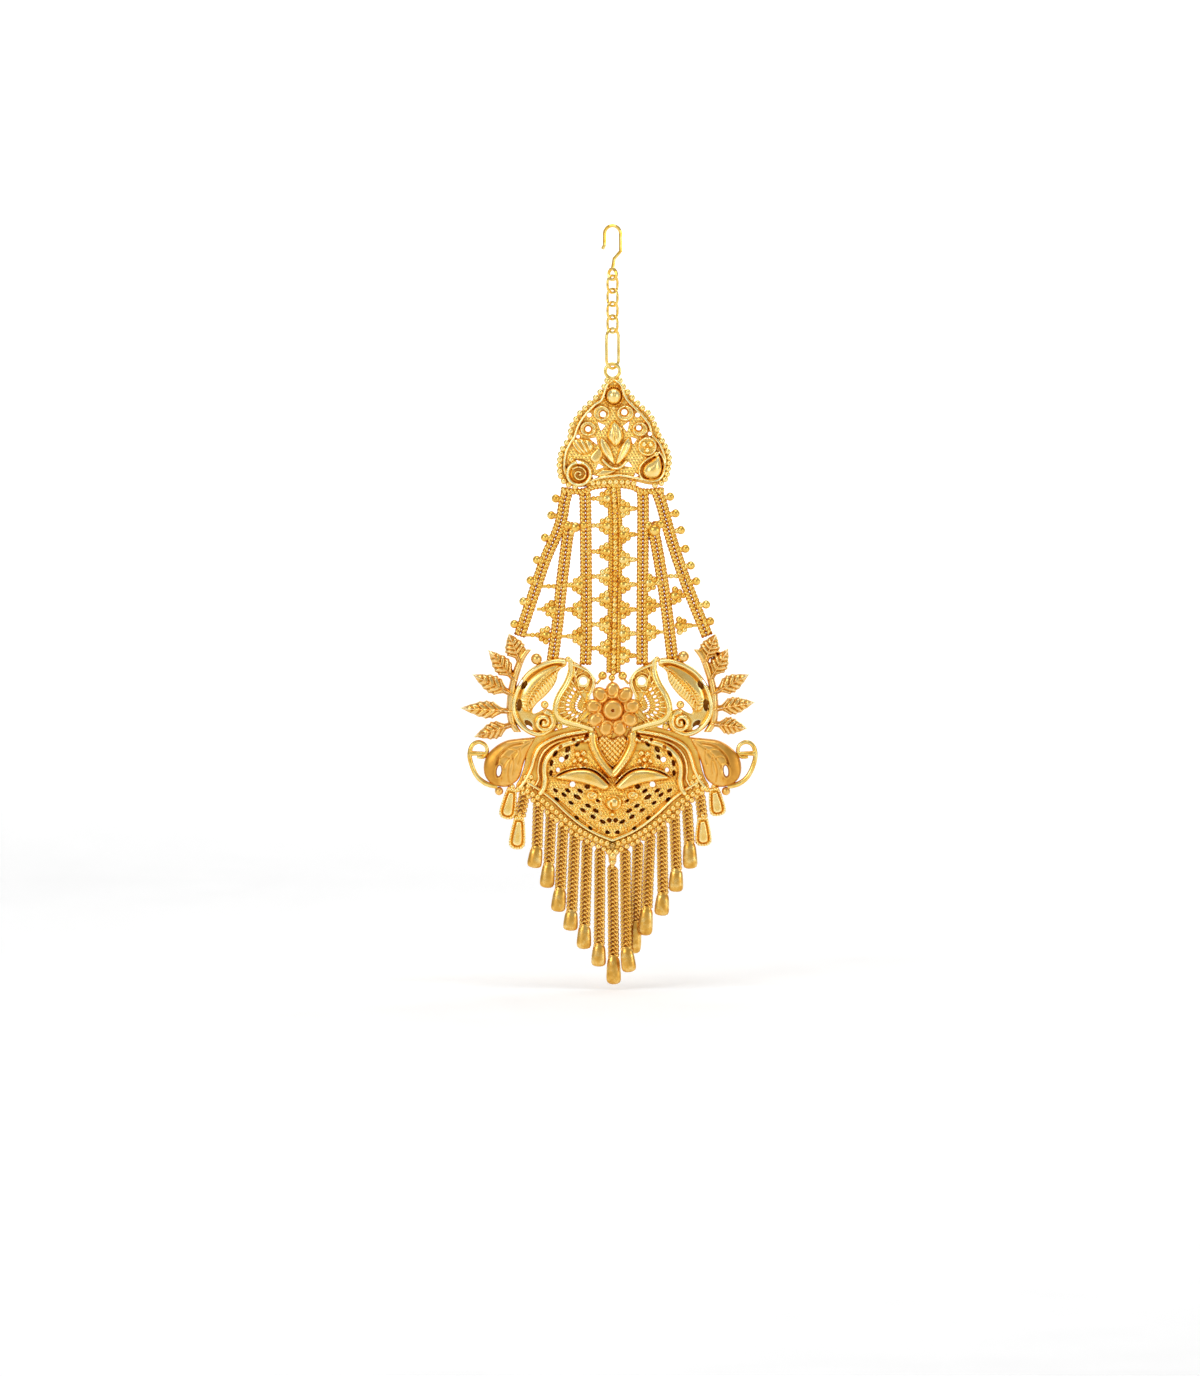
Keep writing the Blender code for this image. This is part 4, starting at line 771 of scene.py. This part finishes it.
NET = [
    [(-60, 559), (-50, 563), (-38, 573), (-24, 587), (-8, 601)], [(-70, 562), (-52, 572), (-34, 588), (-14, 604)],
    [(-50, 556), (-36, 562), (-24, 571), (-12, 585), (0, 598)], [(-30, 556), (-22, 566), (-10, 577), (0, 586)],
    [(-44, 552), (-47, 564), (-55, 573)], [(-30, 553), (-31, 572), (-40, 586)], [(-20, 556), (-20, 580), (-26, 598)],
    [(-10, 560), (-12, 588), (-14, 606)], [(-58, 520), (-50, 537), (-46, 548)], [(-40, 516), (-38, 530), (-34, 540)],
]
for line in NET:
    for side in (1, -1):
        shield.wire(curved(sided(line, side)), 2.6, 2.2, 2.4)
for x, z in ((-32, 531.5), (-29, 525), (-35, 526), (-38, 533), (-27, 533), (-33, 538)):
    for side in (1, -1):
        shield.dome(x * side, z, 6.4, 6.4, 4.0)
heart = [(0, 510.5), (-6.5, 507.5), (-12.5, 508), (-15, 513), (-13.5, 520), (-8, 528.5), (0, 537)]
heart = curved(heart + sided(heart[-2:0:-1], -1), True)
shield.pillow(circle(0, 520, 30, 42), -0.9, 8)
shield.pillow(heart, 4.6, 3.4)
for k in range(-6, 7):
    for slant in (-1, 1):
        shield.groove([(k * 5.2 - 16 * slant, 506), (k * 5.2 + 16 * slant, 540)], 1.2, 1.1)
for side in (1, -1):
    wing = [(-58, 550), (-49.5, 544.5), (-39, 541), (-27.5, 540.5), (-18.5, 543), (-10.5, 549), (-2.6, 558),
            (-8.5, 562.5), (-18.5, 559), (-30.5, 555.5), (-43.5, 553)]
    shield.pillow(curved(sided(wing, side), True), 7.0, 5.0)
    wing_edge = [(-60, 549.5), (-51, 543.4), (-39, 539.8), (-26.5, 539), (-17, 541.8), (-9, 547.6), (-2, 555.5)]
    shield.wire(curved(sided(wing_edge, side)), 2.2, 6.2)
    vband = [(-18.6, 506), (-17.8, 516), (-12.5, 528), (-6, 538), (0, 545)]
    shield.wire(curved(sided([(x - 1.5, z + 0.5) for x, z in vband], side)), 9.5, 5.2)
    for rail, rise in (
        ([(-23.4, 505), (-22.4, 516), (-17, 528.5), (-10, 538.8), (0, 549.6)], 5.8),
        ([(-15.6, 507), (-14.6, 515.5), (-10, 526), (-4.6, 533.6), (0, 538)], 5.6),
    ):
        shield.wire(curved(sided(rail, side)), 1.8, rise)
    rim = [(-90.5, 559.5), (-77.5, 567), (-64, 576.5), (-49.5, 589.5), (-33.5, 601.5), (-17, 610.5), (0, 617)]
    shield.wire(curved(sided([(x * 0.93, z - 4.6) for x, z in rim], side)), 4.2, 4.2)
    shield.pillow(circle(-20.5 * side, 567.3, 12, 9.5, 0), 4.8, 4.0)
    shield.groove(circle(-20.5 * side, 567.3, 6, 4.6)[:15], 1.8, 1.6)
shield.pillow(circle(1.2, 574.6, 16.5, 16), 7.6, 7.5)
shield.groove(curved([(-4, 571), (1, 568.4), (6.4, 572), (5.4, 578.6), (-0.6, 579.6), (-1.6, 575)]), 2.4, 2.4)
shield.dome(0, 586.5, 6, 4.6, 5.2)
# Sunk slits and pits, darkened by their depth and by painted shade.
for x, z, wide, high, turn in SLITS + LOW_SLITS:
    for side in (1, -1):
        shield.dome(x * side, z, wide, high, -PIT_DEPTH, turn * side, over=True)
body = shield.solid(2.0, -2.0)
for side in (1, -1):
    for x, z in spaced(curved([(px * side, pz + 0.6) for px, pz in rim]), 6.1):
        add_bead(body, x, z, 3.6, 3.3)
    low = [(-94.5, 561.5), (-82.5, 569.5), (-70, 580), (-55.5, 592.6), (-41, 603.8), (-24, 614), (-10, 620.5),
           (-3, 623.5)]
    for x, z in spaced(curved(sided(low, side)), 6.1):
        add_bead(body, x, z, 2.2, 3.2)
for x, z in ((-84.5, 553), (84.5, 553)):
    for k in range(5):
        a = math.radians(72 * k + 90)
        add_bead(body, x + 5.0 * math.cos(a), z + 5.0 * math.sin(a), 3.0, 3.0)
    add_bead(body, x, z, 3.6, 2.8)
for x, z, radius in ((0, 628, 4.6), (-3.6, 624, 3.4), (3.6, 624, 3.4), (0, 634.4, 3.6), (0, 638.5, 2.4)):
    add_bead(body, x, z, 2.4, radius, ROUND)
made = mesh_piece("medallion_shield", body, medallion_gold, "pendant")
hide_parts("medallion")

# ----------------------------------------
# Windows: two arched panels of filigree, soldered to the top of the shield. Each has a wide
# border between two thin rails, wires that run from it to a hub, and a round hole in a ring.
WINDOW_EDGE = [
    (-44, 428.5), (-44.5, 441.5), (-49, 454), (-56, 465.5), (-60, 476.5), (-59.5, 487), (-54.5, 494),
    (-43.5, 499), (-33.5, 501), (-23, 504), (-17.5, 506), (-15.5, 497), (-20, 485.5), (-22, 473.5), (-21.5, 466.5),
    (-17.5, 460.5), (-16.5, 451.5), (-23, 442), (-30.5, 437.5), (-38, 433.5),
]
for name, side in (("left", 1), ("right", -1)):
    ends = [(-42.5, 450), (-45, 456.5), (-48.5, 461.5), (-51.5, 467), (-53.6, 473), (-54.4, 479.5), (-53, 485.5),
            (-49, 490), (-43.5, 492.6), (-37, 494.4)]
    hub = (-25.5, 478)
    gaps = [circle(-29.3 * side, 453, 7.4, 7.4)]
    for first, second in zip(ends[:-1], ends[1:]):
        x, z = (first[0] + second[0]) / 2, (first[1] + second[1]) / 2
        for share, long in ((0.32, 4.0), (0.62, 2.6)):
            gx, gz = x + (hub[0] - x) * share, z + (hub[1] - z) * share
            slant = math.degrees(math.atan2(hub[1] - z, hub[0] - x))
            gaps.append(circle(gx * side, gz, long, 1.9, slant * side, 10))
    window = Relief([curved(sided(WINDOW_EDGE, side), True, 2)], gaps, 0.5)
    border = [(-41.5, 431.5), (-41.5, 444), (-45.5, 455.5), (-52.5, 467), (-56.2, 477.5), (-55.6, 486.5),
              (-50.5, 491.8), (-42, 495), (-32, 497.4), (-21, 500.6)]
    window.wire(curved(sided(border, side)), 7.4, 5.0)
    for shift in (-3.4, 1.2):
        line = curved(border)
        window.wire(sided([beside(line, k, shift) for k in range(len(line))], side), 2.2, 5.4)
    for end in ends:
        window.wire(sided([end, (end[0] * 0.8 + hub[0] * 0.2, end[1] * 0.8 + hub[1] * 0.2)], side), 2.6, 3.0)
        window.wire(sided([end, hub], side), 2.0, 2.4, 2.2)
    inner = [(-39.5, 436.5), (-30.5, 440), (-23, 444.5), (-19, 452.5), (-20.5, 460), (-24, 468)]
    window.wire(curved(sided(inner, side)), 3.6, 5.0)
    window.wire(curved(sided([(-24, 468), (-25, 476), (-22.5, 486), (-18.5, 496)], side)), 3.0, 4.4, 2.4)
    window.hoop(circle(-29.3 * side, 453, 10.6), 2.6, 4.0)
    window.dome(hub[0] * side, hub[1], 6, 6, 5.6)
    window.tint = 0.12
    for points in ([(-38, 437), (-38, 446), (-43, 453)], [(-33, 437), (-37, 446), (-37.5, 454)],
                   [(-22, 446), (-24, 457), (-31, 463)],
                   [(-26, 443), (-36, 448), (-33, 461)], [(-45, 494), (-34, 486), (-26, 480)],
                   [(-36, 496), (-28, 490), (-22, 484)],
                   [(-28, 499), (-23, 494), (-20, 488)], [(-19, 465), (-27, 463), (-35, 464)]):
        window.wire(curved(sided(points, side)), 1.8, 2.8)
    piece = window.solid(1.75, -1.75)
    mesh_piece("medallion_window_" + name, piece, medallion_gold, "pendant")

# ----------------------------------------
# Feathers: two cast scrolls outside the windows. A smooth ridge runs round the outer edge into a
# spiral eye, sunk slots darkened by their depth and by painted shade lie inside it, and short barbs are chased on
# both sides of a quill.
FEATHER_EDGE = [
    (-47, 430.5), (-55.5, 429.5), (-64, 431.5), (-74.5, 436), (-84.5, 442.5), (-93.5, 454), (-99.5, 466.5),
    (-102, 478), (-99.5, 489.5), (-93.5, 499), (-84.5, 506), (-74.5, 509), (-65.5, 507.5), (-58, 502.5),
    (-54, 495), (-57.5, 484.5), (-66.5, 480.5), (-74, 484), (-79, 485.5), (-80, 482), (-75.5, 475.5), (-66.5, 467.5),
    (-59.5, 459), (-55.5, 451.5), (-54.5, 445), (-51, 440.5), (-46, 437),
]
for name, side in (("left", 1), ("right", -1)):
    gaps = [circle(-91.6 * side, 454.5, 2.0, 8, 32 * side, 12), circle(-83 * side, 499.5, 7.6, 2.6, 32 * side, 12)]
    feather = Relief([curved(sided(FEATHER_EDGE, side), True, 3)], gaps, 0.5)
    dish = [(-66, 440), (-60, 447), (-63, 457), (-69, 465), (-78, 472), (-87, 478), (-91.5, 472),
            (-88, 460), (-81, 450), (-74, 443)]
    feather.pillow(curved(sided(dish, side), True), -1.8, 6)
    ridge = [(-48, 433.5), (-56, 432.8), (-64, 434.6), (-74.5, 439), (-84, 445.5), (-92, 456), (-96.8, 467.5),
             (-99, 478), (-96.8, 488.5), (-91, 497.4), (-83, 503.4), (-74.5, 506), (-66.5, 504),
             (-60.6, 499.5), (-58.4, 493.5), (-61, 487.6), (-67, 484.6)]
    feather.wire(curved(sided(ridge, side)), 5.6, 5.0)
    spiral = [(-68.5 + (9.0 - 0.21 * k) * math.cos(0.3 * k - 0.6), 494 + (9.0 - 0.21 * k) * math.sin(0.3 * k - 0.6))
              for k in range(30)]
    feather.wire(sided(spiral, side), 5.6, 7.0)
    feather.dome(-68.8 * side, 494, 5.4, 5.4, 6.4)
    vane = [(-50, 438), (-53.5, 446), (-57, 456), (-64, 464.5), (-73, 473), (-79, 480), (-87, 483), (-92.5, 475),
            (-91.5, 464), (-86, 454), (-78, 446), (-68, 440), (-58, 436.5)]
    feather.pillow(curved(sided(vane, side), True), 4.2, 9)
    for k in range(15):
        t = k / 14
        x, z = -55 - 30 * t, 441 + 36 * t - 8 * t * (1 - t)
        feather.groove(sided([(x, z), (x + 6 - 5 * t, z + 8 - 4 * t)], side), 1.5, 1.0)
        feather.groove(sided([(x, z), (x - 7 - 2 * t, z + 4 - 5 * t)], side), 1.5, 1.0)
    quill = [(-52, 438.5), (-62, 444.5), (-72, 453.5), (-80, 464), (-84.5, 474), (-83.5, 482)]
    feather.wire(curved(sided(quill, side)), 2.4, 6.0)
    for x, z, long, slant in ((-88.2, 457, 9, 32), (-93.2, 477, 12, 4), (-84, 495.5, 9, -52)):
        feather.dome(x * side, z, 4.6, long, -8.0, slant * side, over=True)
    feather.tint = 0.06
    piece = feather.solid(2.3, -1.5)
    for x, z, radius in ((-67.8, 476.5, 4.2), (-53.1, 498.5, 3.5), (-44.5, 431, 3.0)):
        add_bead(piece, x * side, z, 3.4, radius, ROUND)
    mesh_piece("medallion_feather_" + name, piece, medallion_gold, "pendant")

# ----------------------------------------
# Rosette: nine raised petals, each with a hooked line chased in it, round a satin dome with a pin
# hole. Three stems with granules stand above it, and one runs down from it to the shield.
ROSE = (0.3, 481.2)
PETALS, PETAL_RING = 9, 18.6
turns = [math.radians(90 + 360 / PETALS * k) for k in range(PETALS)]
spots = [(ROSE[0] + PETAL_RING * math.cos(a), ROSE[1] - PETAL_RING * math.sin(a)) for a in turns]
petals = [circle(*spot, 18.4, 15.4, -math.degrees(a)) for spot, a in zip(spots, turns)]
rose = Relief([circle(*ROSE, 38, 38, 0, 30), *petals], (), 0.5)
for petal, (x, z), a in zip(petals, spots, turns):
    rose.pillow(petal, 6.0, 4.6)
    hook = [(x + r * math.cos(a + 1.2 + 0.75 * j), z - r * math.sin(a + 1.2 + 0.75 * j))
            for j, r in enumerate((6.0, 5.8, 5.4, 4.8, 4.0))]
    rose.groove(curved(hook), 1.8, 1.2)
rose.hoop(circle(*ROSE, 23.5, 23.5, 0, 30), 2.6, 3.4)
rose.pillow(circle(*ROSE, 22, 22, 0, 30), 9.2, 4.2)
rose.pillow(circle(ROSE[0], ROSE[1] + 0.4, 3.2, 3.2), -3.0, 1.2)
body = rose.solid(8.2, 6.5)
made = mesh_piece("rosette_cast", body, gold("satin_gold_rosette", "#C67C2C", "#EFB04E", "#FDD68A", 0.3, painted_shading=True),
                  "pendant")
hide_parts("rosette")
body = bmesh.new()
for x, z, radius in ((-10, 447.5, 4.6), (-0.7, 449.6, 3.6), (10.1, 447.7, 4.6), (-3.2, 507, 3.4), (-2.6, 500.8, 2.6)):
    add_bead(body, x, z, 2.6, radius, ROUND)
mesh_piece("rosette_side_granules", body, granule_gold, "pendant")
stems = [[at(-10, 449, 1), at(-16, 456, 1)], [at(10, 449, 1), at(16, 456, 1)],
         [at(-0.7, 450, 1), at(0, 460, 1)], [at(-2, 497, 1), at(-3, 508, 1)]]
curve_piece("rosette_stems", stems, 2.6 * STEP, granule_gold, "pendant", sides=8)

# ----------------------------------------
# Leaf sprays: a cast stem with five lobed leaves on each side of the medallion, every leaf with
# a raised midrib and sunk side veins, and a plain ball at the foot of the topmost leaf.
leaf_gold = gold("chased_gold_leaves", "#BE7E30", "#EBB552", "#FDE2A6", 0.25, painted_shading=True)


def medal(x, z):
    """Steps from shares of the medallion's width and height."""
    return (x * 129, 427.05 + z * 195)


def medal_line(points, side, closed=False):
    """A smooth line through points that are given as shares of the medallion."""
    return curved([medal(x * side, z) for x, z in points], closed)


LEAF_SHAPE = [(0.0, 0.34), (0.14, 0.36), (0.24, 0.66), (0.32, 0.98), (0.38, 0.90), (0.46, 1.06), (0.52, 0.86),
              (0.60, 0.90), (0.68, 0.64), (0.78, 0.50), (0.88, 0.24), (1.0, 0.0)]
LEAVES = {
    "left": [(-0.806, -0.115, -0.717, 0.031, 21), (-0.966, -0.029, -0.765, 0.120, 19),
             (-1.091, 0.097, -0.793, 0.195, 19), (-1.188, 0.271, -0.805, 0.287, 18),
             (-1.078, 0.421, -0.790, 0.358, 18)],
    "right": [(0.802, -0.113, 0.717, 0.031, 21), (0.900, -0.038, 0.765, 0.115, 19),
              (1.064, 0.097, 0.793, 0.190, 19), (1.109, 0.241, 0.805, 0.275, 18), (1.050, 0.377, 0.790, 0.352, 18)],
}
STEM = [(-0.655, -0.03), (-0.700, 0.01), (-0.735, 0.067), (-0.775, 0.159), (-0.792, 0.262), (-0.780, 0.344),
        (-0.735, 0.395)]
for name, side in (("left", 1), ("right", -1)):
    stem = medal_line(STEM, side)
    rings, veins = [], []
    for tip_x, tip_z, base_x, base_z, width in LEAVES[name]:
        start, tip = Vector(medal(base_x, base_z)), Vector(medal(tip_x, tip_z))
        along = tip - start
        across = Vector((-along.y, along.x)).normalized() * width / 2
        rings.append([tuple(start + along * s + across * w) for s, w in LEAF_SHAPE]
                     + [tuple(start + along * s - across * w) for s, w in LEAF_SHAPE[-2::-1]])
        veins.append((start, along, across))
    thick = [(x - 4.0, z) for x, z in stem] + [(x + 4.0, z) for x, z in stem[::-1]]
    spray = Relief([thick, *rings], (), 0.5)
    for ring, (start, along, across) in zip(rings, veins):
        spray.pillow(ring, 5.2, 6.0)
        for share in (0.22, 0.38, 0.54, 0.70):
            for way in (1, -1):
                spray.groove([tuple(start + along * share),
                        tuple(start + along * (share + 0.17) + across * 0.85 * way)], 1.6, 1.5)
        spray.wire([tuple(start - along * 0.08), tuple(start + along * 0.94)], 2.4, 6.4)
    spray.wire(stem, 7.0, 4.6)
    body = spray.solid(1.6, -1.6)
    ball = (-76.1, 430.8) if side > 0 else (71, 428.3)
    add_bead(body, *ball, 1.6, 5.8, KNOB)
    made = mesh_piece("leaf_spray_%s_cast" % name, body, leaf_gold, "pendant")
    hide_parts("leaf_spray_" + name)

# ----------------------------------------
# Pods: a puffed, satin pod under each spray, pressed from sheet and pierced with one slot. A curl
# of tapered wire springs from its outer edge and rolls into a ring with a bar; a granule sits below.
pod_gold = gold("satin_deep_gold_pod", "#C07E2C", "#E9AE4C", "#FAD286", 0.32, grain=0.25, painted_shading=True)
POD_EDGE = [
    (-0.600, 0.428), (-0.650, 0.424), (-0.717, 0.428), (-0.826, 0.439), (-0.919, 0.475), (-0.981, 0.523),
    (-1.000, 0.579), (-0.981, 0.631), (-0.919, 0.667), (-0.826, 0.678), (-0.756, 0.655), (-0.716, 0.622),
    (-0.690, 0.560), (-0.655, 0.500),
]
CURL = [(-115, 558.6), (-126, 556), (-135, 549), (-140.6, 538), (-143, 527), (-140.5, 517.6), (-134, 514),
        (-127.4, 517), (-125.4, 523.4), (-129, 529), (-135.6, 528.6)]
for name, side in (("left", 1), ("right", -1)):
    edge = medal_line(POD_EDGE, side, True)
    slot_x, slot_z = medal(-0.88 * side, 0.594)
    pod = Relief([edge], [circle(slot_x, slot_z, 4.4, 11, 8 * side, 16)], 0.55)
    pod.pillow(edge, 6.6, 16)
    # The pod is darker towards its outer end.
    pod.tint = -0.2 * np.clip((np.abs(pod.X) - 111) / 4, 0, 1)
    pod.hoop(circle(slot_x, slot_z, 8, 14.6, 8 * side), 2.4, 1.0, over=True)
    for path, width, depth in (
        ([(-0.70, 0.452), (-0.80, 0.468), (-0.875, 0.515), (-0.90, 0.56)], 2.2, 1.6),
        ([(-0.74, 0.50), (-0.79, 0.545), (-0.81, 0.60), (-0.80, 0.65)], 2.2, 1.2),
        ([(-0.64, 0.445), (-0.76, 0.500), (-0.84, 0.570), (-0.86, 0.645)], 1.6, 0.9),
        ([(-0.72, 0.480), (-0.715, 0.520), (-0.735, 0.56)], 1.3, 0.8),
        ([(-0.78, 0.512), (-0.765, 0.56), (-0.775, 0.61)], 1.3, 0.8),
        ([(-0.74, 0.492), (-0.78, 0.480), (-0.815, 0.482)], 1.3, 0.8),
        ([(-0.80, 0.530), (-0.835, 0.520), (-0.865, 0.528)], 1.3, 0.8),
    ):
        pod.groove(medal_line(path, side), width, depth)
    body = pod.solid(1.6, -2.4, 2.0)
    add_bead(body, -113.5 * side, 563.2, 0.6, 4.4, ROUND)
    made = mesh_piece("pod_%s_shell" % name, body, pod_gold, "pendant")
    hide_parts("pod_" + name)
    curl = [[at(x * side, z, 0.3) for x, z in curved(CURL)], [at(x * side, 525.5, 0.3) for x in (-142.4, -126.5)]]
    curve_piece("pod_%s_curl" % name, curl, 5.6 * STEP, granule_gold, "pendant",
                sides=10, radii=lambda t: 1.0 - 0.35 * t)

# ----------------------------------------
# Strands: fifteen woven wheat chains of fine oval links, laid alternately to the left and right
# so that each strand reads as a braid. They hang straight from the edge of the shield.
strand_gold = gold("woven_gold_chain", "#CC8D34", "#E3AC49", "#F5D07D", 0.26, mottle_mm=1.6, grain=0.06, painted_shading=True)


FRINGE_WIDE = 106.04


def fringe(x, z):
    """Steps from shares of the fringe's width and height."""
    return (x * FRINGE_WIDE, 555.03 + z * 202)


FRINGE = [
    (-0.832, -0.877, 0.163, -0.908, 0.330, 0.0), (-0.700, -0.712, 0.314, -0.742, 0.421, 0.0),
    (-0.580, -0.599, 0.394, -0.622, 0.520, 0.0), (-0.467, -0.493, 0.520, -0.516, 0.639, 0.0),
    (-0.355, -0.385, 0.630, -0.400, 0.733, 0.0), (-0.240, -0.262, 0.703, -0.272, 0.824, 0.0),
    (-0.118, -0.125, 0.797, -0.133, 0.911, 0.0), (0.003, 0.010, 0.856, 0.012, 0.999, 0.0),
    (0.120, 0.130, 0.812, 0.160, 0.936, -1.3), (0.240, 0.218, 0.690, 0.195, 0.847, 0.9),
    (0.355, 0.325, 0.614, 0.305, 0.756, 0.0), (0.467, 0.476, 0.544, 0.461, 0.658, 0.0),
    (0.585, 0.604, 0.425, 0.596, 0.540, 0.0), (0.703, 0.725, 0.291, 0.735, 0.425, 0.0),
    (0.826, 0.850, 0.164, 0.860, 0.314, 0.0),
]
LINK_PITCH = 4.3
HALF_LONG, HALF_WIDE = 3.5, 1.3
LINK_LEAN, LINK_SHIFT, LINK_TILT, CORE_RADIUS = 38, 2.4, 0.42, 2.2
FRINGE_PLANE, DEPTH_SHIFT = 1.5, 5
for number, (top_x, low_x, low_z, end_x, end_z, depth) in enumerate(FRINGE, start=2):
    node_name = "strand_%02d" % number
    low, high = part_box(node_name)
    ax, az = top_x * FRINGE_WIDE, -high[2] / STEP
    bx, bz = fringe(low_x, low_z)
    length = math.hypot(bx - ax, bz - az)
    count = max(3, round(length / LINK_PITCH))
    paths = []
    for k in range(count + 1):
        share = k / count
        x, z = ax + (bx - ax) * share, az + (bz - az) * share
        y = FRINGE_PLANE - depth * DEPTH_SHIFT * share ** 2
        for half in (-1, 1):
            if half > 0 and k == count:
                continue
            lean = math.radians(LINK_LEAN * half)
            drift = length / count / 2 * (half > 0)
            path = []
            for j in range(8):
                a = 2 * math.pi * j / 8
                long, wide = HALF_LONG * math.sin(a), HALF_WIDE * math.cos(a)
                px = half * LINK_SHIFT + long * math.sin(lean) + wide * math.cos(lean)
                pz = long * math.cos(lean) - wide * math.sin(lean) + drift
                path.append(at(x + px, z + pz, y + 0.5 + LINK_TILT * long))
            paths.append(path)
        ring = [at(x + CORE_RADIUS * math.cos(j * math.pi / 4), z + length / count / 4,
                   y - 0.6 + CORE_RADIUS * math.sin(j * math.pi / 4)) for j in range(8)]
        paths.append(ring)

    # Painted shade along the strand's middle plane, between the links, paler towards its front and back.
    def shade(x, y, z):
        plane = FRINGE_PLANE - depth * DEPTH_SHIFT * ((-z / STEP - az) / (bz - az)) ** 2
        return raised(abs(-y / STEP - plane), 0.02, 0.68, 0.1, 2.7)

    made = curve_piece(node_name + "_chain", paths, 2.5 * STEP, strand_gold, "pendant", True, 6,
                       shade=shade)
    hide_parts(node_name)

# ----------------------------------------
# Drops: thirteen satin cups pressed from sheet, flattened front to back, each with a collar, and
# four flat drops at the ends of the fringe with a plain panel in a granulated rim.
drop_gold = gold("satin_gold_drops", "#CE9339", "#E4B052", "#F5D284", 0.27, grain=0.12)
CUP = [(0.0, -0.03), (0.34, -0.03), (0.60, -0.01), (0.66, 0.03), (0.62, 0.07), (0.76, 0.11), (0.86, 0.22),
       (0.93, 0.40), (0.98, 0.60), (1.0, 0.74), (0.98, 0.85), (0.85, 0.94), (0.56, 0.99), (0.24, 1.007), (0.0, 1.01)]
FLAT_DROPS = (1, 2, 16, 17)
PANEL_HALF, CUP_HALF, CUP_FLAT = 8.4, 7.4, 0.6
INNER_TOP, INNER_LONG, INNER_WIDE = 0.16, 0.74, 0.62
PANEL_SHAPE = [(0.50, 0.0), (0.66, 0.12), (0.80, 0.32), (0.93, 0.54), (1.0, 0.76), (0.95, 0.88), (0.66, 0.97),
               (0.2, 1.0)]
hung = [(2 + k, *row[1:]) for k, row in enumerate(FRINGE)]
hung += [(1, -0.945, 0.020, -1.005, 0.180, 0.0), (17, 0.955, 0.020, 1.003, 0.164, 0.0)]
for number, top_x, top_z, end_x, end_z, depth in hung:
    name = "drop_%02d" % number
    (ax, az), (bx, bz) = fringe(top_x, top_z), fringe(end_x, end_z)
    y = FRINGE_PLANE - depth * DEPTH_SHIFT
    length = math.hypot(bx - ax, bz - az)
    lean = math.atan2(bx - ax, bz - az)
    if number in FLAT_DROPS:
        along, across = Vector(((bx - ax), (bz - az))), Vector(((bz - az), -(bx - ax))).normalized() * PANEL_HALF
        start = Vector((ax, az))
        ring = [tuple(start + along * s + across * w) for w, s in PANEL_SHAPE]
        ring += [tuple(start + along * s - across * w) for w, s in PANEL_SHAPE[::-1]]
        panel = Relief([ring], (), 0.5)
        inner = [tuple(start + along * (INNER_TOP + s * INNER_LONG) + across * w * INNER_WIDE) for w,
                 s in PANEL_SHAPE]
        inner += [tuple(start + along * (INNER_TOP + s * INNER_LONG) - across * w * INNER_WIDE)
                  for w, s in PANEL_SHAPE[::-1]]
        panel.pillow(ring, 1.6, 2.0)
        panel.pillow(inner, 3.4, 2.4)
        panel.groove([*inner, inner[0]], 1.4, 1.2)
        for x, z in spaced([*ring, ring[0]], 3.1):
            cx, cz = x + (start.x + along.x * 0.6 - x) * 0.12, z + (start.y + along.y * 0.6 - z) * 0.12
            panel.dome(cx, cz, 3.2, 3.2, 3.0)
        piece = panel.solid(y + 1.6, y - 3.5, 1.0)
        add_bead(piece, ax, az - 0.6, y, 2.6, ROUND)
        made = mesh_piece(name + "_panel", piece, crest_gold, "pendant")
    else:
        piece = bmesh.new()
        verts = [piece.verts.new((w * CUP_HALF * STEP, 0.0, -s * length * STEP)) for w, s in CUP]
        lines = [piece.edges.new(pair) for pair in zip(verts, verts[1:])]
        bmesh.ops.spin(piece, geom=[*verts, *lines], cent=(0, 0, 0), axis=(0, 0, 1), angle=2 * math.pi, steps=24,
                       use_merge=True)
        bmesh.ops.remove_doubles(piece, verts=piece.verts, dist=1e-6)
        bmesh.ops.recalc_face_normals(piece, faces=piece.faces)
        place = Matrix.Translation(at(ax, az, y)) @ Matrix.Rotation(-lean, 4,
                "Y") @ Matrix.Diagonal((1.0, CUP_FLAT, 1.0, 1.0))
        bmesh.ops.transform(piece, matrix=place, verts=piece.verts)
        made = mesh_piece(name + "_cup", piece, drop_gold, "pendant")
    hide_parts(name)
